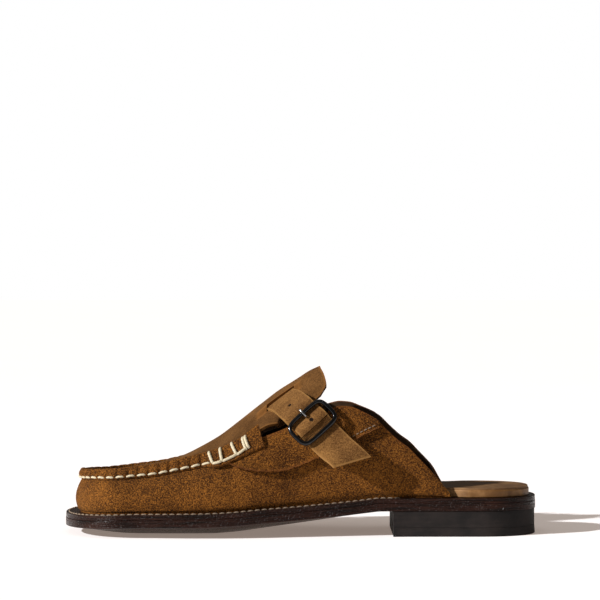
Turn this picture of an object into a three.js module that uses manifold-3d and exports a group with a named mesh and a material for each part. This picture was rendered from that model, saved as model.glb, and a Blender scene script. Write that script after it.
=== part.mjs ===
import * as THREE from 'three';
import * as BufferGeometryUtils from 'three/addons/utils/BufferGeometryUtils.js';
import Module from 'manifold-3d';

// Slip-on moccasin, left foot, mm. Toe towards -X, heel +X, outer side -Y, inner side +Y, floor z = 0.

const gap = 0.35;            // space left between neighbouring layers
const bedGap = 0.2;          // same between the layers of the bottom
const wrapT = 1.6;           // wrap leather
const liningT = 0.8;         // lining leather
const quarterT = 1.4;        // quarter panel leather
const threadR = 0.65;        // cream hand-sewing thread
const fineThreadR = 0.35;    // machine thread

// sole
const toeX = -135.3;         // front of the outsole
const heelX = 135;           // back of the heel
const toeFanX = -95;         // the toe curve starts ahead of this
const heelFanX = 100;        // the heel curve starts behind this
const toeLean = 5;           // toe point set over to the inner side
const toePower = 2.2;        // squareness of the toe curve
const heelPower = 2.3;       // squareness of the heel curve
const soleOuter = [[-95, 45.8], [-75, 48.1], [-55, 48.5], [-35, 46.8], [-15, 43], [5, 39.3], [25, 36],
  [45, 33.6], [65, 32.3], [100, 32.2]];
const soleInner = [[-95, 47.2], [-75, 48.5], [-55, 47.4], [-35, 43.5], [-15, 38.2], [5, 33.6], [25, 31],
  [45, 30.4], [65, 31], [100, 32.2]];
const soleEdge = [[-136, 4.4], [-125, 4.8], [-107, 5.7], [-90, 6.3], [-56, 6.7], [-39, 7.4], [-23, 8.7],
  [-6, 9.8], [11, 11.1], [28, 12.6], [38, 13.7], [45.5, 14.4], [136, 14.4]];
const soleCentre = [[-136, 4.4], [-125, 2.8], [-107, 0.8], [-90, 0], [-52, 0], [-39, 0.8], [-23, 2.9],
  [-6, 5.4], [11, 8], [28, 10.9], [38, 13.1], [45.5, 14.4], [136, 14.4]];
const outsoleT = 4.3;        // outsole leather
const weltT = 3;             // welt strip
const weltW = 9;             // width of the welt strip
const boardT = 2;            // insole board
const foamT = 1.6;           // footbed foam
const sockT = 1;             // sock liner
const breastX = 52.4;        // front face of the heel
const topPieceT = 5;         // rubber top piece
const heelInset = 0.5;       // heel set in from the sole edge
const rimInset = 3.7;        // footbed rim set in from the sole edge
const rimW = 1.8;            // footbed rim thickness
const rimStartX = 72;        // front ends of the footbed rim
const shank = { x0: -6, x1: 66, halfW: 7, t: 1.2 };
const nail = { r: 0.9, length: 13 };
const nailSpots = [[70, -18], [70, 18], [92, 0], [115, -17], [115, 17]];

// upper, half-widths at the sole joint, at the widest place and at the top edge of the side
const footOuter = [[-95, 41.8], [-75, 44.2], [-55, 44.5], [-35, 43], [-15, 39.3], [5, 35.6], [25, 32.5],
  [45, 30.3], [65, 29.4], [90, 29.3]];
const footInner = [[-95, 43], [-75, 44.5], [-55, 43.4], [-35, 39.8], [-15, 34.6], [5, 30.3], [25, 28],
  [45, 27.6], [65, 28.2], [90, 29]];
const swell = [[-95, 3.2], [-55, 3], [-15, 3.2], [25, 3.6], [55, 2.8], [75, 1.2], [90, 0.2]];
const topOuter = [[-95, 36.6], [-75, 38.3], [-55, 38.6], [-35, 38], [-15, 34.6], [5, 31.6], [25, 30.2],
  [45, 29.8], [65, 29.3], [90, 29]];
const topInner = [[-95, 37.4], [-75, 38.4], [-55, 38], [-35, 36.6], [-15, 33.2], [5, 30], [25, 28.8],
  [45, 28.4], [65, 28.2], [90, 28.6]];
const topHeight = [[-126, 31.9], [-117, 32.9], [-106, 33.4], [-94, 34.5], [-82, 35.7], [-70, 37.9],
  [-57, 40.4], [-45, 43.2], [-35, 47.3], [-24, 54.6], [-10, 60.2], [4, 66.6], [17.5, 72.6], [23, 73.7],
  [28, 73.3], [33.5, 71.1], [43, 65.9], [49.2, 59.9], [55.3, 54.4], [61.3, 50], [66.3, 44.8],
  [70.3, 40.7], [76.3, 34.2], [81.4, 28], [85, 23.6]];
const innerDrop = 3.2;         // inner side of the toe ridge is lower by this
const toeReach = [32.5, 34.6, 30.2];   // toe curve ahead of toeFanX: sole joint, widest, seam
const sideEndX = 84.6;       // back end of the wrap
const widestAt = 0.42;       // where up the side the wrap is widest
const fanShare = 0.3;        // share of the run that goes round the toe

// toe ridge, apron and tongue
const ridgeHeight = [[-126, 3.8], [-107, 4.5], [-80, 5.2], [-57, 6.2], [-45, 7.4], [-33, 8.3], [-20, 9]];
const ridgeEndX = -24;       // free end of the ridge
const tabStartX = -50;       // the ridge hangs free as a tab behind this
const tabDrop = 4.2;         // tab reaches this far below the seam
const crest = [[-126, 33.6], [-115, 34.6], [-104, 36.1], [-92, 38], [-81, 39.8], [-72, 42], [-64, 45.4],
  [-58, 48.6], [-46, 55.8], [-35, 63.9], [-23, 73.3], [-12, 81.8], [-0.3, 88.9], [5.5, 92.6], [11.4, 95.3]];
const tongueHalf = [[-34, 34.6], [-22, 32.6], [-14, 30.4], [-9, 28], [-1, 22.6], [7, 17.8], [12, 15]];
const tongueEdge = [[-34, 53.6], [-22, 58.2], [-14, 62.4], [-9, 64.2], [-1, 69.6], [7, 75.4], [12, 80]];
const tongueEndX = 11.4;     // crest of the tongue end
const lobe = 4.2;            // the two lobes reach this far past it
const slit = { x0: -24, x1: -2, y0: 15.5, y1: 7.2, half: 2.6, room: 1 };   // room: cut wider by this
const apronInset = 3.4;      // apron edge set in from the seam
const liningEndX = 73;       // back ends of the wrap lining

// quarter panels: lower edge, height above the floor
const quarterFrontX = -40;
const quarterBackX = 44;
const quarterLow = [[-40, 41.6], [-35, 39.8], [-28, 38.4], [-20, 37.7], [-11, 38], [0, 41.2], [14, 47.2],
  [25, 52.4], [35, 57.4], [44, 61.4]];

// strap and buckle
const strapW = 20;
const strapT = 1.6;
const buckleX = 6.8;         // where the buckle sits on the quarter
const buckleZ = 62.2;
const bar = { across: 27.5, along: 17.8, w: 2.9, t: 2.6, corner: 5.2, bow: 1.2 };
const centreBarR = 0.8;
const chapeT = 0.8;
const strapEndShort = 15.6;    // free end past the bend, lower edge and upper edge
const strapEndLong = 25.6;
const prongR = 0.65;
const centreBarH = 0.15 + centreBarR + 0.2 + 2 * prongR;   // above the quarter panel
const strapOverH = centreBarH + centreBarR + 0.2 + 2 * prongR + gap + strapT / 2;
const strapUnderH = 2 * gap + chapeT + strapT / 2;
const frameH = strapUnderH + strapT / 2 + 0.75 + bar.t / 2;
const hingeS = 11.8;         // strap end bends here, measured from the centre bar
const holeS = [-18.6, -0.4];
const holeR = 0.8;
const prongSlot = { s: -4.2, long: 4.8, wide: 3 };   // in the strap, for the prong to rise through
const chapeSlot = { s: 1.2, long: 9, wide: 2.4 };    // in the chape, round the prong's eye
const tieOffXs = [-50, -43.4, -36.4, -29.4];

function table(rows) {
  // smooth curve through the rows, no overshoot between them
  const n = rows.length;
  const slope = rows.map((row, i) => {
    if (i === 0 || i === n - 1) return 0;
    const a = (row[1] - rows[i - 1][1]) / (row[0] - rows[i - 1][0]);
    const b = (rows[i + 1][1] - row[1]) / (rows[i + 1][0] - row[0]);
    return a * b <= 0 ? 0 : (2 * a * b) / (a + b);
  });
  slope[0] = (rows[1][1] - rows[0][1]) / (rows[1][0] - rows[0][0]);
  slope[n - 1] = (rows[n - 1][1] - rows[n - 2][1]) / (rows[n - 1][0] - rows[n - 2][0]);
  return (x) => {
    let k = 0;
    while (k < n - 2 && x > rows[k + 1][0]) k += 1;
    const h = rows[k + 1][0] - rows[k][0];
    const t = Math.min(1, Math.max(0, (x - rows[k][0]) / h));
    const a = rows[k][1] * (1 + 2 * t) * (1 - t) ** 2 + slope[k] * h * t * (1 - t) ** 2;
    return a + rows[k + 1][1] * t * t * (3 - 2 * t) + slope[k + 1] * h * t * t * (t - 1);
  };
}

const soleHalf = { '-1': table(soleOuter), 1: table(soleInner) };
const footHalf = { '-1': table(footOuter), 1: table(footInner) };
const topHalf = { '-1': table(topOuter), 1: table(topInner) };
const swellAt = table(swell);
const edgeZ = table(soleEdge);
const centreZ = table(soleCentre);
const topZ = table(topHeight);
const ridgeZ = table(ridgeHeight);
const crestZ = table(crest);
const tongueHalfAt = table(tongueHalf);
const tongueEdgeAt = table(tongueEdge);
const quarterLowAt = table(quarterLow);

const clamp01 = (t) => Math.min(1, Math.max(0, t));
const smooth = (a, b, x) => clamp01((x - a) / (b - a)) ** 2 * (3 - 2 * clamp01((x - a) / (b - a)));
const mix = (a, b, t) => a + (b - a) * t;
const vec = (x, y, z) => new THREE.Vector3(x, y, z);
const range = (n, a, b) => Array.from({ length: n + 1 }, (_, i) => mix(a, b, i / n));
const whole = (a, b) => Array.from({ length: b - a + 1 }, (_, i) => a + i);
const weltTop = (x) => edgeZ(x) + outsoleT + weltT;

// plan outline of the sole set in by `inset`: side, station 0..1 from toe to heel
const stationsToe = 8;
const stationsSide = 18;
const stationsHeel = 7;
const stationCount = stationsToe + stationsSide + stationsHeel;

function outlinePoint(side, i, inset) {
  if (i < stationsToe) {
    const f = (i / stationsToe) * (Math.PI / 2);
    const a = toeFanX - toeX - inset;
    const b = soleHalf[side](toeFanX) - inset;
    const x = toeFanX - a * Math.cos(f) ** (2 / toePower);
    return [x, side * b * Math.sin(f) ** (2 / toePower) + toeShift(x)];
  }
  if (i <= stationsToe + stationsSide) {
    const x = mix(toeFanX, heelFanX, (i - stationsToe) / stationsSide);
    return [x, side * (soleHalf[side](x) - inset)];
  }
  const f = ((i - stationsToe - stationsSide) / stationsHeel) * (Math.PI / 2);
  const a = heelX - heelFanX - inset;
  const b = soleHalf[side](heelFanX) - inset;
  const x = heelFanX + a * Math.sin(f) ** (2 / heelPower);
  return [x, side * b * Math.max(0, Math.cos(f)) ** (2 / heelPower)];
}

function toeShift(x) {
  return x < toeFanX ? toeLean * ((toeFanX - x) / (toeFanX - toeX)) ** 2 : 0;
}

// the forefoot is rounded across: drop below the edge height, `flat` is the share left level at the rim
function sag(x, y, flat = 0.24) {
  const side = y < 0 ? -1 : 1;
  const xc = Math.max(x, toeFanX);
  const across = Math.abs(y - toeShift(x)) / soleHalf[side](xc);
  const ahead = x < toeFanX ? (toeFanX - x) / (toeFanX - toeX) : 0;
  const f = clamp01((across ** 2.2 + ahead ** 2.2) ** (1 / 2.2) / (1 - flat));
  return (edgeZ(x) - centreZ(x)) * (1 - f ** 2.5);
}

function welded(geometry) {
  // positions only, shared corners merged, faces without area dropped
  const plain = new THREE.BufferGeometry();
  plain.setAttribute('position', geometry.attributes.position.clone());
  if (geometry.index) plain.setIndex(geometry.index.clone());
  const merged = BufferGeometryUtils.mergeVertices(plain, 2e-3);
  const index = merged.index.array;
  const kept = [];
  for (let i = 0; i < index.length; i += 3) {
    const [a, b, c] = [index[i], index[i + 1], index[i + 2]];
    if (a !== b && b !== c && a !== c) kept.push(a, b, c);
  }
  merged.setIndex(kept);
  return merged;
}

function solid(triangles) {
  // triangles: flat list of Vector3, three per face
  const position = new Float32Array(triangles.length * 3);
  triangles.forEach((p, i) => position.set([p.x, p.y, p.z], i * 3));
  const geometry = new THREE.BufferGeometry();
  geometry.setAttribute('position', new THREE.BufferAttribute(position, 3));
  return welded(geometry);
}

function quad(out, a, b, c, d) {
  // split along the shorter diagonal
  if (a.distanceTo(c) <= b.distanceTo(d)) out.push(a, b, c, a, c, d);
  else out.push(a, b, d, b, c, d);
}

function shell(outer, inner, openStart = false) {
  // closed solid between two grids of points; openStart: row 0 folds on itself
  const out = [];
  const n = outer.length;
  const m = outer[0].length;
  for (let i = 0; i < n - 1; i += 1) {
    for (let j = 0; j < m - 1; j += 1) {
      quad(out, outer[i][j], outer[i + 1][j], outer[i + 1][j + 1], outer[i][j + 1]);
      quad(out, inner[i][j], inner[i][j + 1], inner[i + 1][j + 1], inner[i + 1][j]);
    }
    quad(out, outer[i][0], inner[i][0], inner[i + 1][0], outer[i + 1][0]);
    quad(out, outer[i][m - 1], outer[i + 1][m - 1], inner[i + 1][m - 1], inner[i][m - 1]);
  }
  for (let j = 0; j < m - 1; j += 1) {
    if (!openStart) quad(out, outer[0][j], outer[0][j + 1], inner[0][j + 1], inner[0][j]);
    quad(out, outer[n - 1][j], inner[n - 1][j], inner[n - 1][j + 1], outer[n - 1][j + 1]);
  }
  return facingOut(solid(out));
}

function facingOut(geometry) {
  // turn every face over if the enclosed volume comes out negative
  const p = geometry.attributes.position;
  const index = geometry.index.array;
  let volume = 0;
  const [a, b, c] = [vec(0, 0, 0), vec(0, 0, 0), vec(0, 0, 0)];
  for (let i = 0; i < index.length; i += 3) {
    a.fromBufferAttribute(p, index[i]);
    b.fromBufferAttribute(p, index[i + 1]);
    c.fromBufferAttribute(p, index[i + 2]);
    volume += a.dot(b.cross(c));
  }
  if (volume > 0) return geometry;
  const turned = [];
  for (let i = 0; i < index.length; i += 3) turned.push(index[i], index[i + 2], index[i + 1]);
  geometry.setIndex(turned);
  return geometry;
}

const wasm = await Module();
wasm.setup();

function toManifold(geometry) {
  const merged = welded(geometry);
  return new wasm.Manifold(new wasm.Mesh({
    numProp: 3,
    vertProperties: new Float32Array(merged.attributes.position.array),
    triVerts: new Uint32Array(merged.index.array),
  }));
}

function fromManifold(manifold) {
  const mesh = manifold.getMesh();
  const geometry = new THREE.BufferGeometry();
  geometry.setAttribute('position', new THREE.BufferAttribute(new Float32Array(mesh.vertProperties), 3));
  geometry.setIndex(new THREE.BufferAttribute(new Uint32Array(mesh.triVerts), 1));
  return geometry;
}

const cut = (body, ...tools) => fromManifold(tools.reduce((m, t) => m.subtract(toManifold(t)),
  toManifold(body)));
const join = (body, ...more) => fromManifold(more.reduce((m, t) => m.add(toManifold(t)),
  toManifold(body)));

function tube(points, radius, sides = 5) {
  // round rod along a list of points, flat ends
  const n = points.length;
  let normal = null;
  const rings = points.map((p, i) => {
    const tangent = points[Math.min(n - 1, i + 1)].clone().sub(points[Math.max(0, i - 1)]).normalize();
    if (!normal) normal = Math.abs(tangent.z) < 0.9 ? vec(0, 0, 1) : vec(1, 0, 0);
    normal = normal.clone().addScaledVector(tangent, -normal.dot(tangent)).normalize();
    const side = tangent.clone().cross(normal);
    return range(sides, 0, 2 * Math.PI).slice(0, sides).map((f) => p.clone()
      .addScaledVector(normal, radius * Math.cos(f)).addScaledVector(side, radius * Math.sin(f)));
  });
  const out = [];
  for (let i = 0; i < n - 1; i += 1) {
    for (let j = 0; j < sides; j += 1) {
      const k = (j + 1) % sides;
      quad(out, rings[i][j], rings[i + 1][j], rings[i + 1][k], rings[i][k]);
    }
  }
  for (let j = 1; j < sides - 1; j += 1) {
    out.push(rings[0][0], rings[0][j], rings[0][j + 1]);
    out.push(rings[n - 1][0], rings[n - 1][j + 1], rings[n - 1][j]);
  }
  return facingOut(solid(out));
}

// ---- bottom ----

const shares = [0.76, 0.52, 0.27, 0];   // columns shared by all layers, as shares of the outline

function sheetRows(z, insetAt, flat) {
  // one face of a sole-shaped layer; only its rim column depends on the inset
  return whole(0, stationCount).map((i) => {
    const half = (side) => {
      const full = outlinePoint(side, i, 0);
      const edge = outlinePoint(side, i, insetAt(full[0]));
      const middle = Math.min(heelFanX, Math.max(toeFanX, full[0]));
      const reach = Math.hypot(edge[0] - middle, edge[1]) / Math.hypot(full[0] - middle, full[1]);
      const columns = shares.map((f) => Math.min(f, 0.97 * reach))
        .map((f) => [mix(middle, full[0], f), full[1] * f]);
      return [edge, ...columns].map(([x, y]) => vec(x, y, z(x) - sag(x, y, flat)));
    };
    return [...half(-1), ...half(1).reverse().slice(1)];
  });
}

function insetLayer(z0, z1, insetAt, lowFlat) {
  return closedSlab(sheetRows(z1, insetAt), sheetRows(z0, insetAt, lowFlat));
}

function closedSlab(top, low) {
  // both end rows fold on themselves, so only the two long edges get a wall
  const out = [];
  const n = top.length;
  const m = top[0].length;
  for (let i = 0; i < n - 1; i += 1) {
    for (let j = 0; j < m - 1; j += 1) {
      quad(out, top[i][j], top[i + 1][j], top[i + 1][j + 1], top[i][j + 1]);
      quad(out, low[i][j], low[i][j + 1], low[i + 1][j + 1], low[i + 1][j]);
    }
    quad(out, top[i][0], low[i][0], low[i + 1][0], top[i + 1][0]);
    quad(out, top[i][m - 1], top[i + 1][m - 1], low[i + 1][m - 1], low[i][m - 1]);
  }
  return facingOut(solid(out));
}

function ring(z0, z1, insetOut, insetIn, i0, i1) {
  // open ring round the shoe between two insets, from station i0 outer side round to i0 inner side
  const rows = [];
  const line = (side, i) => {
    const a = outlinePoint(side, i, insetOut(i));
    const b = outlinePoint(side, i, insetIn(i));
    const at = (p, z) => vec(p[0], p[1], z(p[0]) - sag(p[0], p[1]));
    return [at(a, z0), at(b, z0), at(b, z1), at(a, z1)];
  };
  const order = whole(i0, i1);
  order.forEach((i) => rows.push(line(-1, i)));
  order.reverse().slice(1).forEach((i) => rows.push(line(1, i)));
  return rows;
}

function ringSolid(rows, closed) {
  const out = [];
  const n = rows.length;
  for (let i = 0; i < (closed ? n : n - 1); i += 1) {
    const a = rows[i];
    const b = rows[(i + 1) % n];
    for (let j = 0; j < 4; j += 1) quad(out, a[j], b[j], b[(j + 1) % 4], a[(j + 1) % 4]);
  }
  if (!closed) {
    quad(out, rows[0][0], rows[0][1], rows[0][2], rows[0][3]);
    quad(out, rows[n - 1][3], rows[n - 1][2], rows[n - 1][1], rows[n - 1][0]);
  }
  return facingOut(solid(out));
}

const heelStationX = (i) => outlinePoint(-1, i, 0)[0];

function heelLift(z0, z1, inset0, inset1) {
  // block under the heel seat, breast at breastX
  const first = whole(0, stationCount).find((i) => heelStationX(i) > breastX + 2);
  const loop = (inset, z) => {
    const edge = whole(first, stationCount);
    const outer = edge.map((i) => outlinePoint(-1, i, inset));
    const inner = edge.map((i) => outlinePoint(1, i, inset)).reverse().slice(1);
    const front = [-1, 1].map((side) => [breastX, side * (soleHalf[side](breastX) - inset)]);
    return [front[0], ...outer, ...inner, front[1]].map((p) => vec(p[0], p[1], z));
  };
  const low = loop(inset0, z0);
  const high = loop(inset1, z1);
  const n = low.length;
  const out = [];
  const flat = low.map((p) => new THREE.Vector2(p.x, p.y));
  THREE.ShapeUtils.triangulateShape(flat, []).forEach(([a, b, c]) => {
    out.push(low[c], low[b], low[a], high[a], high[b], high[c]);
  });
  for (let i = 0; i < n; i += 1) quad(out, low[i], low[(i + 1) % n], high[(i + 1) % n], high[i]);
  return facingOut(solid(out));
}

// ---- upper surface: u runs -1 (outer side, back) .. 0 (toe) .. 1 (inner side, back), v 0 sole .. 1 top ----

function profile(v, foot, wide, top) {
  if (v < widestAt) return foot + (wide - foot) * (1 - (1 - v / widestAt) ** 2);
  return wide - (wide - top) * ((v - widestAt) / (1 - widestAt)) ** 1.9;
}

function sideTop(x, side) {
  const low = side > 0 ? innerDrop * smooth(-124, -100, x) * (1 - smooth(-60, -25, x)) : 0;
  return topZ(x) - low;
}

function halfAt(x, side, v) {
  const foot = footHalf[side](x);
  return profile(v, foot, foot + swellAt(x), topHalf[side](x));
}

function upper(u, v, lift = 0) {
  const at = (uu, vv) => {
    const side = uu < 0 ? -1 : 1;
    const a = Math.abs(uu);
    let x;
    let y;
    if (a < fanShare) {
      const f = (a / fanShare) * (Math.PI / 2);
      x = toeFanX - profile(vv, ...toeReach) * Math.cos(f) ** (2 / toePower);
      y = side * halfAt(toeFanX, side, vv) * Math.sin(f) ** (2 / toePower) + toeShift(x);
    } else {
      x = mix(toeFanX, sideEndX, (a - fanShare) / (1 - fanShare));
      y = side * halfAt(x, side, vv);
    }
    return vec(x, y, mix(weltTop(x) + gap, sideTop(x, side), vv));
  };
  const p = at(u, v);
  if (lift === 0) return p;
  const e = 1e-3;
  const du = at(u + e, v).sub(at(u - e, v));
  const dv = at(u, v + e).sub(at(u, v - e));
  return p.addScaledVector(dv.cross(du).normalize(), lift);
}

const uAtX = (x, side) => side * mix(fanShare, 1, (x - toeFanX) / (sideEndX - toeFanX));
const vAtZ = (x, z, side) => (z - weltTop(x) - gap) / (sideTop(x, side) - weltTop(x) - gap);

const toeUs = range(7, 0, fanShare);
const sideUs = range(17, fanShare, 1).slice(1);
const halfUs = [...toeUs, ...sideUs];
const wrapUs = [...halfUs.slice(1).map((u) => -u).reverse(), ...halfUs];

function wrapWall(lift0, lift1, vs, foldIn, us = wrapUs) {
  // side wall with a turned-in foot that lies on the welt
  const grid = (lift) => us.map((u) => {
    const wall = vs.map((v) => upper(u, v, lift));
    const foot = upper(u, 0);
    const base = weltTop(foot.x) + gap - lift;
    const corner = upper(u, 0, lift);
    corner.z = base;
    const inward = corner.clone();
    const mid = vec(Math.max(foot.x, toeFanX), 0, 0);
    const dir = mid.sub(vec(corner.x, corner.y, 0)).normalize();
    inward.addScaledVector(dir, mix(foldIn, 0.6, smooth(30, 60, foot.x)));
    return foldIn > 0 ? [inward, corner, ...wall.slice(1)] : wall;
  });
  return shell(grid(lift0), grid(lift1));
}

function outward(u) {
  // plan direction away from the shoe at the seam
  return upper(u, 0.98, 1).sub(upper(u, 0.98)).setZ(0).normalize();
}

function ridgeBand() {
  // raised ridge round the toe; its back ends hang free as tabs over the quarter panels
  const end = Math.abs(uAtX(ridgeEndX, 1));
  const us = wrapUs.filter((u) => Math.abs(u) < end - 0.01);
  return ringSolid([-end, ...us, end].map(ridgeSection), false);
}

function ridgeSection(u) {
  const side = u < 0 ? -1 : 1;
  const seam = upper(u, 1);
  const h = ridgeZ(seam.x);
  const tab = smooth(tabStartX - 6, tabStartX + 5, seam.x);
  const stand = mix(-0.7 * wrapT, quarterT + 2 * gap, tab);
  const out = outward(u);
  const low = vAtZ(seam.x, seam.z - mix(1.5, tabDrop, tab), side);
  const lean = mix(0.5, 3.4, smooth(-70, -35, seam.x));
  const top = upper(u, 1, stand).addScaledVector(out, -lean);
  top.z = seam.z + h;
  return [upper(u, low, stand + wrapT), upper(u, low, stand), top,
    top.clone().addScaledVector(out, wrapT)];
}

// ---- apron and tongue ----

const apronOuter = table([[-95, 36.6 - apronInset], [-75, 38.3 - apronInset], [-57, 38.4 - apronInset],
  [-45, 35.2], ...tongueHalf]);

function apronEdgeZ(x, side) {
  const seam = sideTop(x, side) + 0.45 * ridgeZ(x);
  return mix(seam, tongueEdgeAt(x), smooth(-50, -34, x));
}

const slitY = (x) => mix(slit.y0, slit.y1, (x - slit.x0) / (slit.x1 - slit.x0));

function slitLift(x, y) {
  // strap slits: the middle flap rides up over the strap, the side lies under it
  const along = smooth(slit.x0 - 8, slit.x0 + 3, x) * (1 - smooth(slit.x1 - 3, slit.x1 + 8, x));
  const off = Math.abs(y) - slitY(x);
  if (off < 0) return along * 1.5 * smooth(-9, -slit.half, off);
  return -along * 2.4 * (1 - 0.6 * smooth(8, 18, off));
}

function domeZ(x, t, side, half) {
  const zc = crestZ(x);
  const ze = apronEdgeZ(x, side);
  const power = mix(2.2, 1.45, smooth(-70, -20, x));
  return zc - (zc - ze) * Math.abs(t) ** power + slitLift(x, t * half);
}

const apronXs = [...range(4, toeFanX, -45).slice(1), ...range(12, -45, tongueEndX).slice(1)];

function apronColumns(row, x, half) {
  // distances from the middle line; one pair of columns follows the two edges of the strap slit
  const even = [0, 0.16, 0.32, 0.5, 0.68, 0.84, 1];
  if (row < 7) return even;
  const a = Math.max(0.2 * half, slitY(x) - slit.half - 0.2) / half;
  const b = Math.min(0.8, (slitY(x) + slit.half + 0.2) / half);
  const k = smooth(-70, -32, x);
  return even.map((t, i) => mix(t, [0, 0.5 * a, a, b, mix(b, 1, 0.35), mix(b, 1, 0.7), 1][i], k));
}

function apronPoint(row, column) {
  const side = column < 0 ? -1 : 1;
  let x;
  let half;
  let middle = 0;
  if (row < 6) {
    const f = (row / 6) * (Math.PI / 2);
    const a = toeReach[2] - apronInset;
    x = toeFanX - a * Math.cos(f) ** (2 / toePower);
    half = apronOuter(toeFanX) * Math.sin(f) ** (2 / toePower);
    middle = toeShift(x);
  } else {
    const xs = row === 6 ? toeFanX : apronXs[row - 7];
    half = apronOuter(xs);
    const t = side * apronColumns(row, xs, half)[Math.abs(column)];
    const y = Math.abs(t) * half;
    const shape = smooth(0, 13, y) * lobe - 0.9 * Math.max(0, y - 13) ** 1.4;
    x = xs + shape * smooth(-14, tongueEndX, xs);
    return vec(x, y * side, domeZ(xs, t, side, half) + 0.75 * (x - xs));
  }
  const t = side * apronColumns(row)[Math.abs(column)];
  return vec(x, middle + t * half, domeZ(x, row === 0 ? 0 : t, side, half));
}

function apronLayer(lift0, lift1) {
  const rows = whole(0, 6 + apronXs.length);
  const base = rows.map((row) => whole(-6, 6).map((column) => apronPoint(row, column)));
  const normal = base.map((line, i) => line.map((p, j) => {
    if (i === 0) return vec(-0.3, 0, 1).normalize();
    const a = base[Math.min(base.length - 1, i + 1)][j].clone().sub(base[i - 1][j]);
    const b = line[Math.min(line.length - 1, j + 1)].clone().sub(line[Math.max(0, j - 1)]);
    return a.cross(b).normalize();
  }));
  const moved = (lift) => base.map((line, i) => line.map((p, j) =>
    p.clone().addScaledVector(normal[i][j], lift)));
  return shell(moved(lift0), moved(lift1), true);
}

function slitTool(side, half) {
  const from = vec(slit.x0, side * slit.y0, 0);
  const to = vec(slit.x1, side * slit.y1, 0);
  const box = new THREE.BoxGeometry(from.distanceTo(to), 2 * half, 120);
  box.rotateZ(Math.atan2(to.y - from.y, to.x - from.x));
  box.translate((from.x + to.x) / 2, (from.y + to.y) / 2, 60);
  return box;
}

// ---- quarter panels ----

function quarterPanel(side) {
  const us = range(14, uAtX(quarterFrontX, side), uAtX(quarterBackX, side));
  const grid = (lift) => us.map((u) => {
    const x = upper(u, 1).x;
    const low = vAtZ(x, quarterLowAt(x), side);
    return range(5, low, 0.995).map((v) => upper(u, v, lift));
  });
  return shell(grid(gap + quarterT), grid(gap));
}

function quarterThread(side) {
  const us = range(16, uAtX(-20, side), uAtX(quarterBackX - 4, side));
  const line = us.map((u) => {
    const x = upper(u, 1).x;
    const v = vAtZ(x, quarterLowAt(x) + 2.4, side);
    return upper(u, v, gap + quarterT + 0.15 + fineThreadR);
  });
  return tube(line, fineThreadR, 4);
}

// ---- threads ----

const threadLift = threadR + 0.2;

function mocThread() {
  const end = Math.abs(uAtX(tabStartX - 6, 1));
  const us = [-end, ...wrapUs.filter((u) => Math.abs(u) < end - 0.01), end];
  return tube(us.map((u) => {
    const section = ridgeSection(u);
    return section[0].lerp(section[3], 0.36).addScaledVector(outward(u), threadLift + 0.65);
  }), threadR, 6);
}

function tieOff(side) {
  // four upright stitches over the tab, joined at their feet
  const xs = tieOffXs;
  const at = (x, t) => {
    const section = ridgeSection(uAtX(x, side));
    const out = outward(uAtX(x, side));
    const low = section[0].clone().lerp(section[3], 0.32);
    return low.lerp(section[3].clone(), t).addScaledVector(out, threadR + 0.75 - 0.25 * t);
  };
  const feet = range(8, xs[0] - 1.2, xs[3] + 1.2).map((x) => at(x, 0));
  const rods = xs.map((x, i) => tube(range(3, 0, 0.86).map((t) => at(x - 1.5 * t, t)),
    i === 3 ? 1.5 * threadR : threadR, 6));
  return join(tube(feet, threadR, 6), ...rods);
}

function weltThread() {
  const rows = [];
  const last = stationsToe + stationsSide - 4;
  const at = (side, i) => {
    const p = outlinePoint(side, i, 1.9);
    return vec(p[0], p[1], weltTop(p[0]) - sag(p[0], p[1]) + fineThreadR + 0.15);
  };
  whole(0, last).reverse().forEach((i) => rows.push(at(-1, i)));
  whole(0, last).slice(1).forEach((i) => rows.push(at(1, i)));
  return tube(rows, fineThreadR, 4);
}

// ---- strap and buckle ----

const buckleU = uAtX(buckleX, -1);
const buckleV = vAtZ(buckleX, buckleZ, -1);
const seat = upper(buckleU, buckleV, gap + quarterT);
const upDir = upper(buckleU, buckleV, 1).sub(upper(buckleU, buckleV)).normalize();
const onPlane = (x, z) => vec(x, -(upDir.x * x + upDir.z * z) / upDir.y, z).normalize();
const alongDir = onPlane(0.75, -0.66).addScaledVector(onPlane(0.789, 0.614), -0.05).normalize();
const acrossDir = upDir.clone().cross(alongDir).normalize();
const onBuckle = (s, w, h) => seat.clone().addScaledVector(alongDir, s)
  .addScaledVector(acrossDir, w).addScaledVector(upDir, h);

const acrossSlit = vec(0.735, 0.37, 0.57).normalize();
const acrossTop = vec(0.816, 0, 0.578).normalize();

function strapStations() {
  // [centre, across] from the middle of the instep to the bend at the buckle
  const bent = (s) => mix(strapOverH, strapUnderH, smooth(0, 6.2, Math.abs(s)));
  const lastS = hingeS - strapT / 2 - 0.3;
  const onSeat = [-11.5, -9.6, -8, -6.4, -5, -3.4, -1.7, 0, 1.7, 3.4, 5, 6.4, 8, 9.6, lastS]
    .map((s) => [onBuckle(s, 0, bent(s)), acrossDir]);
  const towards = (k) => acrossSlit.clone().lerp(acrossDir, k);
  const turning = (k) => acrossTop.clone().lerp(acrossSlit, k);
  return [[vec(-13, 0, 73.8), acrossTop], [vec(-12.8, -4.5, 73.8), turning(0.4)],
    [vec(-12, -8, 73.6), turning(0.8)], [vec(-11, -11.2, 75), acrossSlit],
    [vec(-8.2, -15.8, 75.7), towards(0)], [vec(-6.1, -21, 74.7), towards(0.4)],
    [vec(-3.9, -26.5, 73.2), towards(0.8)], ...onSeat];
}

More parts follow.
